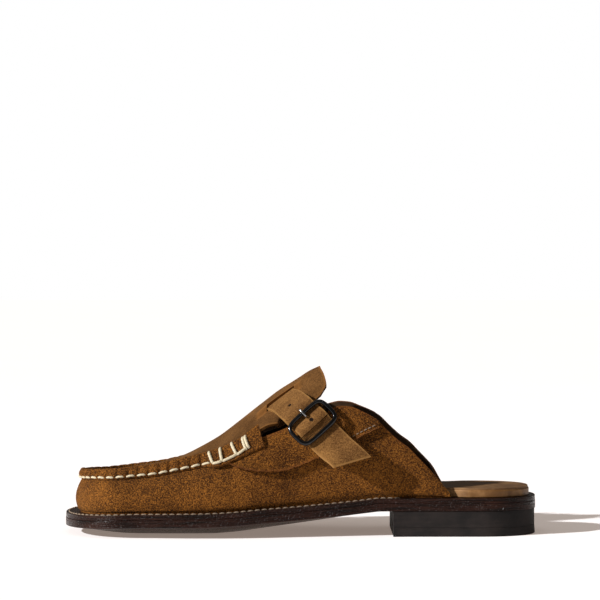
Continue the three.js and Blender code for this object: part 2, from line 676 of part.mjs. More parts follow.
function strapBody() {
  const lateral = strapStations();
  const flip = (v) => vec(v.x, -v.y, v.z);
  const anchorEnd = lateral.slice(1, 7).map(([c, w]) => [flip(c), flip(w)]);
  const anchor = [-13, -8, 2].map((s) => onBuckle(s, 0, strapUnderH - 0.4))
    .map((c) => [flip(c), flip(acrossDir)]);
  const all = [...anchor.reverse(), ...anchorEnd.reverse(), ...lateral];
  const grid = (lift) => all.map(([c, w], i) => {
    const next = all[Math.min(all.length - 1, i + 1)][0];
    const t = next.clone().sub(all[Math.max(0, i - 1)][0]).normalize();
    const n = w.clone().normalize().cross(t).normalize();
    if (n.z < 0) n.negate();
    return range(4, -strapW / 2, strapW / 2).map((k) => c.clone()
      .addScaledVector(w.clone().normalize(), k).addScaledVector(n, lift));
  });
  const body = shell(grid(strapT / 2), grid(-strapT / 2));
  const holes = holeS.map((s) => holeTool(s, holeR));
  return cut(body, ...holes, slotTool(prongSlot, 10, 4.6));
}

function drill(s, w, radius, length) {
  const tool = new THREE.CylinderGeometry(radius, radius, length, 10);
  tool.applyQuaternion(new THREE.Quaternion().setFromUnitVectors(vec(0, 1, 0), upDir));
  const at = onBuckle(s, w, 2);
  tool.translate(at.x, at.y, at.z);
  return tool;
}

const holeTool = (s, radius) => drill(s, 0, radius, 24);

function slotTool(slot, depth, h) {
  const tool = new THREE.BoxGeometry(slot.long, slot.wide, depth);
  tool.applyMatrix4(new THREE.Matrix4().makeBasis(alongDir, acrossDir, alongDir.clone().cross(acrossDir)));
  const at = onBuckle(slot.s, 0, h);
  tool.translate(at.x, at.y, at.z);
  return tool;
}

const endDir = vec(0.7, -0.2, -0.68).normalize();

function strapEnd() {
  // free end past the buckle; rounded root turns on the bend line
  const hinge = onBuckle(hingeS, 0, strapUnderH);
  const root = acrossDir;
  const tipAcross = vec(0.73, 0.12, 0.66).normalize();
  const lengths = range(6, 0, 1);
  const centre = (t, w) => {
    const reach = mix(0, mix(strapEndShort, strapEndLong, (w + strapW / 2) / strapW), t);
    const across = root.clone().lerp(tipAcross, Math.min(1, t * 1.4)).normalize();
    return hinge.clone().addScaledVector(alongDir, reach * 0.25 * (1 - t))
      .addScaledVector(endDir, reach * (0.75 + 0.25 * t)).addScaledVector(across, w);
  };
  const grid = (lift) => lengths.map((t) => range(4, -strapW / 2, strapW / 2).map((w) =>
    centre(t, w).addScaledVector(upDir, lift)));
  const blade = shell(grid(strapT / 2), grid(-strapT / 2));
  const knuckle = new THREE.CylinderGeometry(strapT / 2, strapT / 2, strapW, 12);
  knuckle.applyQuaternion(new THREE.Quaternion().setFromUnitVectors(vec(0, 1, 0), acrossDir));
  knuckle.translate(hinge.x, hinge.y, hinge.z);
  return join(blade, knuckle);
}

function buckleFrame() {
  const loop = (half, long, corner) => {
    const shape = new THREE.Shape();
    shape.moveTo(-long, -half + corner);
    shape.lineTo(-long, half - corner);
    shape.quadraticCurveTo(-long, half, -long + corner, half);
    shape.quadraticCurveTo(0, half + bar.bow, long - corner, half);
    shape.quadraticCurveTo(long, half, long, half - corner);
    shape.lineTo(long, -half + corner);
    shape.quadraticCurveTo(long, -half, long - corner, -half);
    shape.quadraticCurveTo(0, -half - bar.bow, -long + corner, -half);
    shape.quadraticCurveTo(-long, -half, -long, -half + corner);
    return shape;
  };
  const half = bar.across / 2 - bar.bow / 2;
  const outer = loop(half, bar.along / 2, bar.corner).getPoints(4).slice(0, -1);
  const inner = loop(half - bar.w, bar.along / 2 - bar.w, 2).getPoints(4);
  const at = (p, h) => onBuckle(p.x, p.y, frameH + h);
  const ringGeometry = ringSolid(outer.map((p, i) => [at(p, -bar.t / 2), at(inner[i], -bar.t / 2),
    at(inner[i], bar.t / 2), at(p, bar.t / 2)]), true);
  const w = bar.across / 2 - bar.w / 2;
  const path = [[-w, frameH], [-w + 1.6, centreBarH + 1], [-w + 2.6, centreBarH], [w - 2.6, centreBarH],
    [w - 1.6, centreBarH + 1], [w, frameH]];
  return join(ringGeometry, tube(path.map(([k, h]) => onBuckle(0, k, h)), centreBarR, 8));
}

function buckleProng() {
  const eye = centreBarR + 0.2 + prongR;
  const rest = frameH + bar.t / 2 + prongR + 0.2;
  const inside = -(bar.along / 2 - bar.w) + prongR + 0.25;
  const rise = [[-3, centreBarH + 0.5], [inside + 0.6, centreBarH + 1.5], [inside + 0.1, frameH],
    [inside, rest - 0.8], [inside - 1.1, rest], [-bar.along / 2 - 0.3, rest],
    [-bar.along / 2 - 0.9, rest - 0.3]];
  const curl = range(8, -2.4, 1.6).map((f) => [eye * Math.cos(f), centreBarH + eye * Math.sin(f)]);
  return tube([...curl, ...rise].map(([s, h]) => onBuckle(s, 0, h)), prongR, 8);
}

function buckleChape() {
  // leather loop round the centre bar, both tails flat on the quarter; slot for the prong
  const r = centreBarR + 0.2 + chapeT / 2;
  const half = strapW / 2 - 0.6;
  const arc = range(10, -Math.PI / 2, Math.PI / 2 + 0.9)
    .map((f) => [r * Math.cos(f), centreBarH + r * Math.sin(f)]);
  const path = [[-7.5, gap + chapeT / 2], [-4, gap + chapeT / 2], ...arc];
  const grid = (lift) => path.map(([s, h], i) => {
    const a = path[Math.max(0, i - 1)];
    const b = path[Math.min(path.length - 1, i + 1)];
    const n = [-(b[1] - a[1]), b[0] - a[0]];
    const size = Math.hypot(...n);
    return [-half, -1.5, 1.5, half].map((w) =>
      onBuckle(s + (n[0] / size) * lift, w, h + (n[1] / size) * lift));
  });
  const body = shell(grid(chapeT / 2), grid(-chapeT / 2));
  return cut(body, slotTool(chapeSlot, 6, centreBarH));
}

// ---- assembly ----

const suede = new THREE.MeshStandardMaterial({ color: 0x7d5129, roughness: 0.95, metalness: 0 });
const suedeLight = new THREE.MeshStandardMaterial({ color: 0x8a6038, roughness: 0.92, metalness: 0 });
const lining = new THREE.MeshStandardMaterial({ color: 0x2c1c12, roughness: 0.7, metalness: 0 });
const soleLeather = new THREE.MeshStandardMaterial({ color: 0x3a271e, roughness: 0.55, metalness: 0 });
const tan = new THREE.MeshStandardMaterial({ color: 0x80562a, roughness: 0.6, metalness: 0 });
const rubber = new THREE.MeshStandardMaterial({ color: 0x2a2422, roughness: 0.85, metalness: 0 });
const cork = new THREE.MeshStandardMaterial({ color: 0xb08a5a, roughness: 0.95, metalness: 0 });
const board = new THREE.MeshStandardMaterial({ color: 0xa0805a, roughness: 0.9, metalness: 0 });
const foam = new THREE.MeshStandardMaterial({ color: 0xd8c9a0, roughness: 0.95, metalness: 0 });
const cream = new THREE.MeshStandardMaterial({ color: 0xe8e0cc, roughness: 0.85, metalness: 0 });
const darkThread = new THREE.MeshStandardMaterial({ color: 0x5a4630, roughness: 0.85, metalness: 0 });
const gunmetal = new THREE.MeshStandardMaterial({ color: 0x2b2d31, roughness: 0.35, metalness: 0.9 });
const silver = new THREE.MeshStandardMaterial({ color: 0xb8b8b8, roughness: 0.3, metalness: 0.95 });
const steel = new THREE.MeshStandardMaterial({ color: 0x8c9096, roughness: 0.4, metalness: 0.95 });

const shoe = new THREE.Group();
shoe.name = 'moccasin';

function add(name, geometry, material) {
  const mesh = new THREE.Mesh(geometry, material);
  mesh.name = name;
  shoe.add(mesh);
}

const bore = (x, y, z0, z1, radius) => {
  const tool = new THREE.CylinderGeometry(radius, radius, z1 - z0, 10);
  tool.rotateX(Math.PI / 2);
  tool.translate(x, y, (z0 + z1) / 2);
  return tool;
};
const heelTop = edgeZ(heelX);
const nailLow = heelTop + outsoleT - 0.4 - nail.length;

const outsole = insetLayer(edgeZ, (x) => edgeZ(x) + outsoleT, () => 0, 0);
add('outsole', cut(outsole, ...nailSpots.map(([x, y]) => bore(x, y, 5, 30, nail.r + gap))), soleLeather);
const weltBase = (x) => edgeZ(x) + outsoleT + 0.3;
add('welt', ringSolid(ring(weltBase, weltTop, () => 0.15, () => weltW, 0, stationCount).slice(0, -1), true),
  soleLeather);
add('welt_stitching', weltThread(), darkThread);

const fillerInset = weltW + 2.6 * gap;
const fillerTop = (x) => weltTop(x) - bedGap;
const strip = (z0, z1, x0, x1, halfW) => {
  const line = (z) => range(12, x0, x1).map((x) => range(4, -halfW, halfW).map((y) =>
    vec(x, y, z(x) - sag(x, y))));
  return shell(line(z1), line(z0));
};
const shankTop = (x) => fillerTop(x) - 0.1;
add('bottom_filler', cut(insetLayer((x) => weltBase(x), fillerTop, () => fillerInset),
  strip((x) => shankTop(x) - shank.t - gap, (x) => shankTop(x) + 3, shank.x0 - gap, shank.x1 + gap,
    shank.halfW + gap)), cork);
add('shank', strip((x) => shankTop(x) - shank.t, shankTop, shank.x0, shank.x1, shank.halfW), steel);

const rimOutAt = (x) => mix(7.6, rimInset, smooth(84, 97, x));
const toeRoom = (x) => 1.4 * (1 - smooth(-126, -95, x));
const foamInset = (x) => rimOutAt(x) + rimW + gap + toeRoom(x);
const boardInset = (x) => foamInset(x) + 4.4 * (1 - smooth(-124, -95, x));
const boardTop = (x) => weltTop(x) + gap + boardT;
const foamTop = (x) => boardTop(x) + bedGap + foamT;
const sockTop = (x) => foamTop(x) + bedGap + sockT;
add('insole_board', insetLayer((x) => weltTop(x) + gap, boardTop, boardInset), board);
add('footbed_foam', insetLayer((x) => boardTop(x) + bedGap, foamTop, foamInset), foam);
const sockInset = (x) => rimOutAt(x) + 0.6 + toeRoom(x) * 2;
add('sock_liner', insetLayer((x) => foamTop(x) + bedGap, sockTop, sockInset), lining);
const rimStart = whole(0, stationCount).find((i) => heelStationX(i) > rimStartX);
const rimOut = (i) => rimOutAt(heelStationX(i));
add('footbed_rim', ringSolid(ring((x) => weltTop(x) + bedGap, foamTop, rimOut,
  (i) => rimOut(i) + rimW, rimStart, stationCount), false), tan);

const heelBody = heelLift(topPieceT + 0.02, heelTop - 0.06, heelInset, heelInset);
add('heel_stack', cut(heelBody, ...nailSpots.map(([x, y]) => bore(x, y, nailLow - 0.1, 30, nail.r + gap))),
  rubber);
add('heel_top_piece', heelLift(0, topPieceT, heelInset - 0.3, heelInset), rubber);
nailSpots.forEach(([x, y], i) => add(`heel_nail_${i + 1}`,
  bore(x, y, nailLow, nailLow + nail.length, nail.r), steel));

const slitHalf = slit.half + slit.room;
const liningUs = wrapUs.filter((u) => upper(u, 1).x < liningEndX);
const wallVs = [0, 0.14, 0.28, 0.45, 0.66, 0.84, 1];
add('vamp_wrap', join(wrapWall(0, -wrapT, wallVs, 3.4), ridgeBand()), suede);
add('vamp_lining', wrapWall(-wrapT - gap, -wrapT - gap - liningT, [0.16, ...wallVs.slice(2, -1), 0.98], 0,
  liningUs), lining);
add('apron', cut(apronLayer(0, -wrapT), slitTool(-1, slitHalf), slitTool(1, slitHalf)), suedeLight);
add('apron_lining', cut(apronLayer(-wrapT - 1.1, -wrapT - 1.1 - liningT), slitTool(-1, slitHalf + 0.4),
  slitTool(1, slitHalf + 0.4)), lining);
add('moc_thread', mocThread(), cream);
add('tie_off_outer', tieOff(-1), cream);
add('tie_off_inner', tieOff(1), cream);
add('quarter_outer', quarterPanel(-1), suede);
add('quarter_inner', quarterPanel(1), suede);
add('quarter_thread_outer', quarterThread(-1), darkThread);
add('quarter_thread_inner', quarterThread(1), darkThread);
add('strap', strapBody(), suedeLight);
add('strap_end', strapEnd(), suedeLight);
add('buckle_frame', buckleFrame(), gunmetal);
add('buckle_prong', buckleProng(), silver);
add('buckle_chape', buckleChape(), suede);

export default shoe;
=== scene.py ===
# %% [markdown]
# # A slip-on moccasin, looked at from its outer side
# The frame of this lesson is the measured model of the shoe: every piece made here takes the place
# of one of its parts, at the same spot and size, with finer form and a real finish. Lengths in the
# code are millimetres, because that is how shoemakers think; they become metres when a mesh is made.

# %% Load the measured model
import math
import bmesh
import bpy
import numpy as np
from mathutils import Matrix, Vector


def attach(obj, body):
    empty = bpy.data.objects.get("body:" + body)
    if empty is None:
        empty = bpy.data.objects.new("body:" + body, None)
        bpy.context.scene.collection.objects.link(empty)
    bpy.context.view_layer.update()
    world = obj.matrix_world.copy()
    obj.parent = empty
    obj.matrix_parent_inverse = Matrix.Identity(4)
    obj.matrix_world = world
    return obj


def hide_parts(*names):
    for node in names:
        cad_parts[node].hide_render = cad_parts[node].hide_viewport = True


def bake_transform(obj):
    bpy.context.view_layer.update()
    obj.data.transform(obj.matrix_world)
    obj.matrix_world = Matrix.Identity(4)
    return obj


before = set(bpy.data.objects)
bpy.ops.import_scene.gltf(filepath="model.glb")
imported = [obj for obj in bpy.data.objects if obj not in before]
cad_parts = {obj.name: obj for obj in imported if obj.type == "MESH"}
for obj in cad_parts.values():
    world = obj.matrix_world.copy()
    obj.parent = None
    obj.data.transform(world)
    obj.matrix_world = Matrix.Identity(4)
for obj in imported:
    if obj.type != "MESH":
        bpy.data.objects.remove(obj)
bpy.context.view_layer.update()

# %% [markdown]
# ## Curves through measured heights and widths
# A last, the wooden form a shoe is built on, is described by stations: its width and height every
# few centimetres. A monotone cubic joins the stations without overshooting between them, so a sole
# never gets a wave that the maker did not put there.

# %% Smooth tables and small helpers
def table(rows):
    """Monotone cubic through (x, value) rows: each slope is the harmonic mean of its two neighbours."""
    xs, ys = np.array(rows, float).T
    d = np.diff(ys) / np.diff(xs)
    slope = np.concatenate([[d[0]], np.zeros(len(xs) - 2), [d[-1]]])
    turn = d[:-1] * d[1:] > 0
    slope[1:-1][turn] = 2 * (d[:-1] * d[1:])[turn] / (d[:-1] + d[1:])[turn]

    def curve(x):
        x = np.asarray(x, float)
        k = np.clip(np.searchsorted(xs, x) - 1, 0, len(xs) - 2)
        h = xs[k + 1] - xs[k]
        t = np.clip((x - xs[k]) / h, 0, 1)
        low = ys[k] * (1 + 2 * t) * (1 - t) ** 2 + slope[k] * h * t * (1 - t) ** 2
        return low + ys[k + 1] * t * t * (3 - 2 * t) + slope[k + 1] * h * t * t * (t - 1)

    return curve


def ease(a, b, x):
    """0 before a, 1 after b, smooth between."""
    t = np.clip((np.asarray(x, float) - a) / (b - a), 0, 1)
    return t * t * (3 - 2 * t)


def mix(a, b, t):
    return a + (b - a) * t


def unit(v):
    return v / np.maximum(np.linalg.norm(v, axis=-1, keepdims=True), 1e-9)


def path_length(p):
    """Length walked along the points up to each of them."""
    return np.concatenate([[0], np.cumsum(np.linalg.norm(np.diff(p, axis=0), axis=1))])


def resampled(points, count):
    """The same path through its points as a natural smooth curve, at evenly spaced lengths."""
    points = np.asarray(points, float)
    s = path_length(points[:, :3])
    at = np.linspace(0, s[-1], count)
    m = np.gradient(points, s, axis=0)
    k = np.clip(np.searchsorted(s, at) - 1, 0, len(s) - 2)
    h = (s[k + 1] - s[k])[:, None]
    t = ((at - s[k]) / h[:, 0])[:, None]
    low = points[k] * (1 + 2 * t) * (1 - t) ** 2 + m[k] * h * t * (1 - t) ** 2
    return low + points[k + 1] * t * t * (3 - 2 * t) + m[k + 1] * h * t * t * (t - 1)


# %% [markdown]
# ## The shoe's own sizes
# These are the sizes the pattern cutter works from: the plan of the sole, the spring of the toe,
# the height of the topline, the crest of the instep. They repeat the values of the measured model,
# so every new piece lands where its part is.

# %% Sizes of the sole and the last
gap, wrap_t, lining_t, quarter_t, thread_r = 0.35, 1.6, 0.8, 1.4, 0.65
toe_x, heel_x, toe_fan, heel_fan, toe_lean = -135.3, 135.0, -95.0, 100.0, 5.0
toe_power, heel_power = 2.2, 2.3
outsole_t, welt_t, welt_w = 4.3, 3.0, 9.0
breast_x, top_piece_t, heel_inset, rim_w = 52.4, 5.0, 0.5, 1.8
board_t, foam_t, sock_t, layer_gap, welt_pitch = 2.0, 1.6, 1.0, 0.2, 4.0
sole_half = {
    -1: table([[-95, 45.8], [-75, 48.1], [-55, 48.5], [-35, 46.8], [-15, 43], [5, 39.3], [25, 36],
               [45, 33.6], [65, 32.3], [100, 32.2]]),
    1: table([[-95, 47.2], [-75, 48.5], [-55, 47.4], [-35, 43.5], [-15, 38.2], [5, 33.6], [25, 31],
              [45, 30.4], [65, 31], [100, 32.2]])}
edge_z = table([[-136, 4.4], [-125, 4.8], [-107, 5.7], [-90, 6.3], [-56, 6.7], [-39, 7.4], [-23, 8.7],
                [-6, 9.8], [11, 11.1], [28, 12.6], [38, 13.7], [45.5, 14.4], [136, 14.4]])
centre_z = table([[-136, 4.4], [-125, 2.8], [-107, 0.8], [-90, 0], [-52, 0], [-39, 0.8], [-23, 2.9],
                  [-6, 5.4], [11, 8], [28, 10.9], [38, 13.1], [45.5, 14.4], [136, 14.4]])
foot_half = {
    -1: table([[-95, 41.8], [-75, 44.2], [-55, 44.5], [-35, 43], [-15, 39.3], [5, 35.6], [25, 32.5],
               [45, 30.3], [65, 29.4], [90, 29.3]]),
    1: table([[-95, 43], [-75, 44.5], [-55, 43.4], [-35, 39.8], [-15, 34.6], [5, 30.3], [25, 28],
              [45, 27.6], [65, 28.2], [90, 29]])}
top_half = {
    -1: table([[-95, 36.6], [-75, 38.3], [-55, 38.6], [-35, 38], [-15, 34.6], [5, 31.6], [25, 30.2],
               [45, 29.8], [65, 29.3], [90, 29]]),
    1: table([[-95, 37.4], [-75, 38.4], [-55, 38], [-35, 36.6], [-15, 33.2], [5, 30], [25, 28.8],
              [45, 28.4], [65, 28.2], [90, 28.6]])}
swell = table([[-95, 3.2], [-55, 3], [-15, 3.2], [25, 3.6], [55, 2.8], [75, 1.2], [90, 0.2]])
top_z = table([[-126, 31.9], [-117, 32.9], [-106, 33.4], [-94, 34.5], [-82, 35.7], [-70, 37.9],
               [-57, 40.4], [-45, 43.2], [-35, 47.3], [-24, 54.6], [-10, 60.2], [4, 66.6], [17.5, 72.6],
               [23, 73.7], [28, 73.3], [33.5, 71.1], [43, 65.9], [49.2, 59.9], [55.3, 54.4], [61.3, 50],
               [66.3, 44.8], [70.3, 40.7], [76.3, 34.2], [81.4, 28], [85, 23.6]])
toe_reach, side_end, widest_at, fan_share, inner_drop = (32.5, 34.6, 30.2), 84.6, 0.42, 0.3, 3.2

# %% Sizes of the ridge, the apron and the quarters
ridge_z = table([[-126, 3.8], [-107, 4.5], [-80, 5.2], [-57, 6.2], [-45, 7.4], [-33, 8.3], [-20, 9]])
ridge_end, tab_start, tab_drop = -24.0, -50.0, 4.2
crest_z = table([[-126, 33.6], [-115, 34.6], [-104, 36.1], [-92, 38], [-81, 39.8], [-72, 42], [-64, 45.4],
                 [-58, 48.6], [-46, 55.8], [-35, 63.9], [-23, 73.3], [-12, 81.8], [-0.3, 88.9],
                 [5.5, 92.6], [11.4, 95.3]])
apron_half = table([[-95, 33.2], [-75, 34.9], [-57, 35], [-45, 35.2], [-34, 34.4], [-27, 32.6],
                    [-22, 30.4], [-14, 28.8], [-9, 27.2], [-1, 22.6], [7, 17.8], [12, 15]])
tongue_edge = table([[-34, 53.8], [-27, 57.0], [-22.5, 62.0], [-18, 64.2], [-11, 65.4], [-1, 69.6],
                     [7, 75.4], [12, 80]])
tongue_end, lobe, apron_inset = 11.2, 3.3, 3.4
slit_x0, slit_x1, slit_y0, slit_y1, slit_half = -24.0, -2.0, 15.5, 7.2, 1.1
quarter_low = table([[-40, 41.6], [-35, 39.8], [-28, 38.4], [-20, 37.7], [-11, 38], [0, 41.2], [14, 47.2],
                     [25, 52.4], [35, 57.4], [44, 61.4]])
quarter_front, quarter_back, raw_edge_lift = -40.0, 44.0, 1.7
pitch = 5.93
print("sole length", heel_x - toe_x, "mm; stitch pitch", pitch, "mm")

# %% [markdown]
# ## From a grid of points to a sheet of leather
# Leather is a sheet with two faces and a cut edge. Two grids of points, the grain side and the flesh
# side, are joined round their border into one closed skin. A mask leaves quads out, so a slit is a
# real opening with its own walls. Each point also carries its place along, across and up the piece
# in an attribute called lay, and how near it is to a cut edge in one called rim, for the finishes.

# %% Meshes from numpy arrays
def make_piece(name, verts, faces, lay, rim, weld=True, sharp=42):
    """One mesh object at the origin from points in mm and quads; doubled points are merged."""
    mesh = bpy.data.meshes.new(name)
    mesh.vertices.add(len(verts))
    mesh.vertices.foreach_set("co", (verts * 0.001).astype(np.float32).ravel())
    mesh.loops.add(faces.size)
    mesh.loops.foreach_set("vertex_index", faces.astype(np.int32).ravel())
    mesh.polygons.add(len(faces))
    mesh.polygons.foreach_set("loop_start", np.arange(0, faces.size, 4, dtype=np.int32))
    mesh.update(calc_edges=True)
    a = mesh.attributes.new("lay", "FLOAT_VECTOR", "POINT")
    a.data.foreach_set("vector", lay.astype(np.float32).ravel())
    b = mesh.attributes.new("rim", "FLOAT", "POINT")
    b.data.foreach_set("value", rim.astype(np.float32).ravel())
    bm = bmesh.new()
    bm.from_mesh(mesh)
    if weld:
        bmesh.ops.remove_doubles(bm, verts=bm.verts, dist=4e-6)
        bmesh.ops.dissolve_degenerate(bm, edges=bm.edges, dist=1e-7)
    if bm.calc_volume(signed=True) < 0:
        bmesh.ops.reverse_faces(bm, faces=bm.faces)
    bm.to_mesh(mesh)
    bm.free()
    mesh.shade_smooth()
    mesh.set_sharp_from_angle(angle=math.radians(sharp))
    obj = bpy.data.objects.new(name, mesh)
    bpy.context.scene.collection.objects.link(obj)
    return obj


def sheet_piece(name, outer, inner, keep=None, closed=False, lay=None, rim=None, sharp=42):
    """Closed skin between two grids (n, m, 3); keep masks quads, closed joins the last row to row 0."""
    n, m = outer.shape[:2]
    rows = n if closed else n - 1
    keep = np.ones((rows, m - 1), bool) if keep is None else keep
    i, j = np.nonzero(keep)
    k = (i + 1) % n

    def at(r, c, low=0):
        return (r % n) * m + c + low * n * m

    a, b, c, d = at(i, j), at(k, j), at(k, j + 1), at(i, j + 1)
    e = n * m
    parts = [np.stack([a, b, c, d], 1), np.stack([a + e, d + e, c + e, b + e], 1)]
    pad = np.zeros((rows + 2, m + 1), bool)
    pad[1:-1, 1:-1] = keep
    if closed:
        pad[0, 1:-1], pad[-1, 1:-1] = keep[-1], keep[0]
    left, right = ~pad[i + 1, j], ~pad[i + 1, j + 2]
    back, front = ~pad[i, j + 1], ~pad[i + 2, j + 1]
    for on, p, q in ((left, b, a), (right, d, c), (front, c, b), (back, a, d)):
        parts.append(np.stack([p[on], q[on], q[on] + e, p[on] + e], 1))
    faces = np.concatenate(parts)
    if lay is None:
        lay = np.stack([np.repeat(np.arange(n)[:, None], m, 1), np.repeat(np.arange(m)[None], n, 0),
                        np.zeros((n, m))], -1).astype(float)
    lay2 = lay.copy()
    lay2[..., 2] -= 1.5
    rim = np.zeros((n, m)) if rim is None else rim
    used, faces = np.unique(faces, return_inverse=True)
    verts = np.concatenate([outer.reshape(-1, 3), inner.reshape(-1, 3)])[used]
    return make_piece(name, verts, faces.reshape(-1, 4), np.concatenate([lay.reshape(-1, 3),
                      lay2.reshape(-1, 3)])[used], np.concatenate([rim.ravel(), rim.ravel()])[used],
                      sharp=sharp)


def rod_piece(name, rings, caps=True, lay=None, closed=False, sharp=60):
    """Closed rods from rings of points (rods, n, m, 3): skinned along, and capped by a centre point."""
    k, n, m = rings.shape[:3]
    if caps:
        ends = [rings[:, e].mean(2, keepdims=True).repeat(m, 2) for e in (slice(0, 1), slice(-1, None))]
        rings = np.concatenate([ends[0], rings, ends[1]], 1)
        n += 2
    r, i, j = np.meshgrid(np.arange(k), np.arange(n if closed else n - 1), np.arange(m), indexing="ij")
    j2, i2 = (j + 1) % m, (i + 1) % n
    at = lambda a, b: (r * n + a) * m + b
    faces = np.stack([at(i, j), at(i2, j), at(i2, j2), at(i, j2)], -1).reshape(-1, 4)
    run = np.arange(n) / (n - 1)
    lay = np.zeros((k, n, m, 3))
    lay[..., 0] = run[None, :, None] * 10
    lay[..., 1] = (np.arange(m) / m)[None, None]
    lay[..., 2] = np.arange(k)[:, None, None]
    return make_piece(name, rings.reshape(-1, 3), faces, lay.reshape(-1, 3), np.zeros(k * n * m), sharp=sharp)


def bevelled(obj, width, segments=2, angle=40):
    """Rounds the cut edges of a finished sheet."""
    mod = obj.modifiers.new("softened edges", "BEVEL")
    mod.width, mod.segments = width * 0.001, segments
    mod.limit_method, mod.angle_limit = "ANGLE", math.radians(angle)
    return obj


def put(obj, body, slot, *nodes, label=""):
    """Hands a finished piece to its body and the parts it stands for; slot is not used."""
    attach(obj, body)
    if nodes:
        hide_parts(*nodes)
    print(obj.name, len(obj.data.polygons), "faces", label)
    return obj


# %% [markdown]
# ## The bottom: outsole, welt and heel
# A leather bottom is cut from a flat bend of leather and sprung over the last, so its rim follows the
# feather line while its middle is rounded by wear and moulding. The plan is a run of widths with a
# super-ellipse for the toe and one for the heel seat; each layer is that plan set in by a little.

# %% The plan of the sole
toe_n, side_n, heel_n = 8, 18, 7
plan_end = float(toe_n + side_n + heel_n)


def toe_shift(x):
    return np.where(x < toe_fan, toe_lean * (np.clip(toe_fan - x, 0, 99) / (toe_fan - toe_x)) ** 2, 0.0)


def outline(q, inset=0.0):
    """Plan point at walk q, minus for the outer side, 0 at the toe, plan_end at the heel, set in by inset."""
    q = np.asarray(q, float)
    side, t = np.where(q < 0, -1.0, 1.0), np.abs(q)
    inset = np.broadcast_to(np.asarray(inset, float), q.shape)

    def half(x):
        return np.where(side < 0, sole_half[-1](x), sole_half[1](x)) - inset

    f = np.clip(t / toe_n, 0, 1) * np.pi / 2
    x1 = toe_fan - (toe_fan - toe_x - inset) * np.abs(np.cos(f)) ** (2 / toe_power)
    y1 = side * half(toe_fan) * np.sin(f) ** (2 / toe_power) + toe_shift(x1)
    x2 = mix(toe_fan, heel_fan, np.clip((t - toe_n) / side_n, 0, 1))
    g = np.clip((t - toe_n - side_n) / heel_n, 0, 1) * np.pi / 2
    x3 = heel_fan + (heel_x - heel_fan - inset) * np.sin(g) ** (2 / heel_power)
    y3 = side * half(heel_fan) * np.clip(np.cos(g), 0, 1) ** (2 / heel_power)
    x = np.where(t < toe_n, x1, np.where(t <= toe_n + side_n, x2, x3))
    y = np.where(t < toe_n, y1, np.where(t <= toe_n + side_n, side * half(x2), y3))
    return x, y


def sag(x, y, flat=0.24):
    """Drop of the rounded forefoot below its rim; flat is the level share next to the rim."""
    half = np.where(y < 0, sole_half[-1](np.maximum(x, toe_fan)), sole_half[1](np.maximum(x, toe_fan)))
    across = np.abs(y - toe_shift(x)) / half
    ahead = np.clip(toe_fan - x, 0, 99) / (toe_fan - toe_x)
    f = np.clip((across ** 2.2 + ahead ** 2.2) ** (1 / 2.2) / (1 - flat), 0, 1)
    return (edge_z(x) - centre_z(x)) * (1 - f ** 2.5)


def welt_top(x):
    return edge_z(x) + outsole_t + welt_t


def joined_at_ends(obj):
    """Merges the points where a folded row meets itself and drops the walls left between its halves."""
    bm = bmesh.new()
    bm.from_mesh(obj.data)
    bmesh.ops.remove_doubles(bm, verts=bm.verts, dist=2e-6)
    walls = [f for f in bm.faces if sum(len(e.link_faces) > 2 for e in f.edges) >= 2]
    bmesh.ops.delete(bm, geom=walls, context="FACES_ONLY")
    bm.to_mesh(obj.data)
    bm.free()
    return obj


def slab(name, z_low, z_high, inset, t0=0.0, t1=plan_end, flat_low=0.24, flat=0.24, count=170,
         inset_low=None, columns=15):
    """A layer of the bottom: rows from toe to heel, columns across, both ends folded on the middle line."""
    t = np.linspace(t0, t1, count)[:, None]
    f = np.sin(np.linspace(-1, 1, 2 * columns + 1) * np.pi / 2)[None]

    def face(z, ins, flatness):
        side = np.where(f < 0, -1.0, 1.0)
        x0, y0 = outline(side * t, ins(outline(t)[0]) + 0 * f)
        mid = np.clip(x0, toe_fan, heel_fan)
        x, y = mix(mid, x0, np.abs(f)), y0 * np.abs(f)
        return np.stack([x, y, z(x) - sag(x, y, flatness)], -1)

    top, low = face(z_high, inset, flat), face(z_low, inset_low or inset, flat_low)
    run = path_length(np.stack([*outline(t[:, 0])], 1))[:, None] + 0 * f
    lay = np.stack([run, f * 40 + 0 * t, 0 * run + 4.3], -1)
    return joined_at_ends(sheet_piece(name, top, low, lay=lay, rim=(np.abs(f) > 0.97) + 0 * t))


level = lambda z: (lambda x: 0 * x + z)
outsole = slab("outsole_leather", edge_z, lambda x: edge_z(x) + outsole_t, level(0.0), flat_low=0.0,
               count=260)
bevelled(outsole, 0.35, 3)
put(outsole, "shoe", "sole_leather", "outsole")

# %% The heel
breast_t = float(np.interp(breast_x, outline(np.linspace(8, 26, 900))[0], np.linspace(8, 26, 900)))
heel_top = float(edge_z(heel_x))
stack = slab("heel_lifts", level(top_piece_t + 0.05), level(heel_top - 0.08), level(heel_inset), breast_t,
             count=90)
bevelled(stack, 0.3)
put(stack, "shoe", "heel_rubber", "heel_stack")
top_piece = slab("heel_tread", level(0.0), level(top_piece_t), level(heel_inset), breast_t, count=90,
                 inset_low=level(heel_inset - 0.35))
bevelled(top_piece, 0.45)
put(top_piece, "shoe", "heel_rubber", "heel_top_piece")


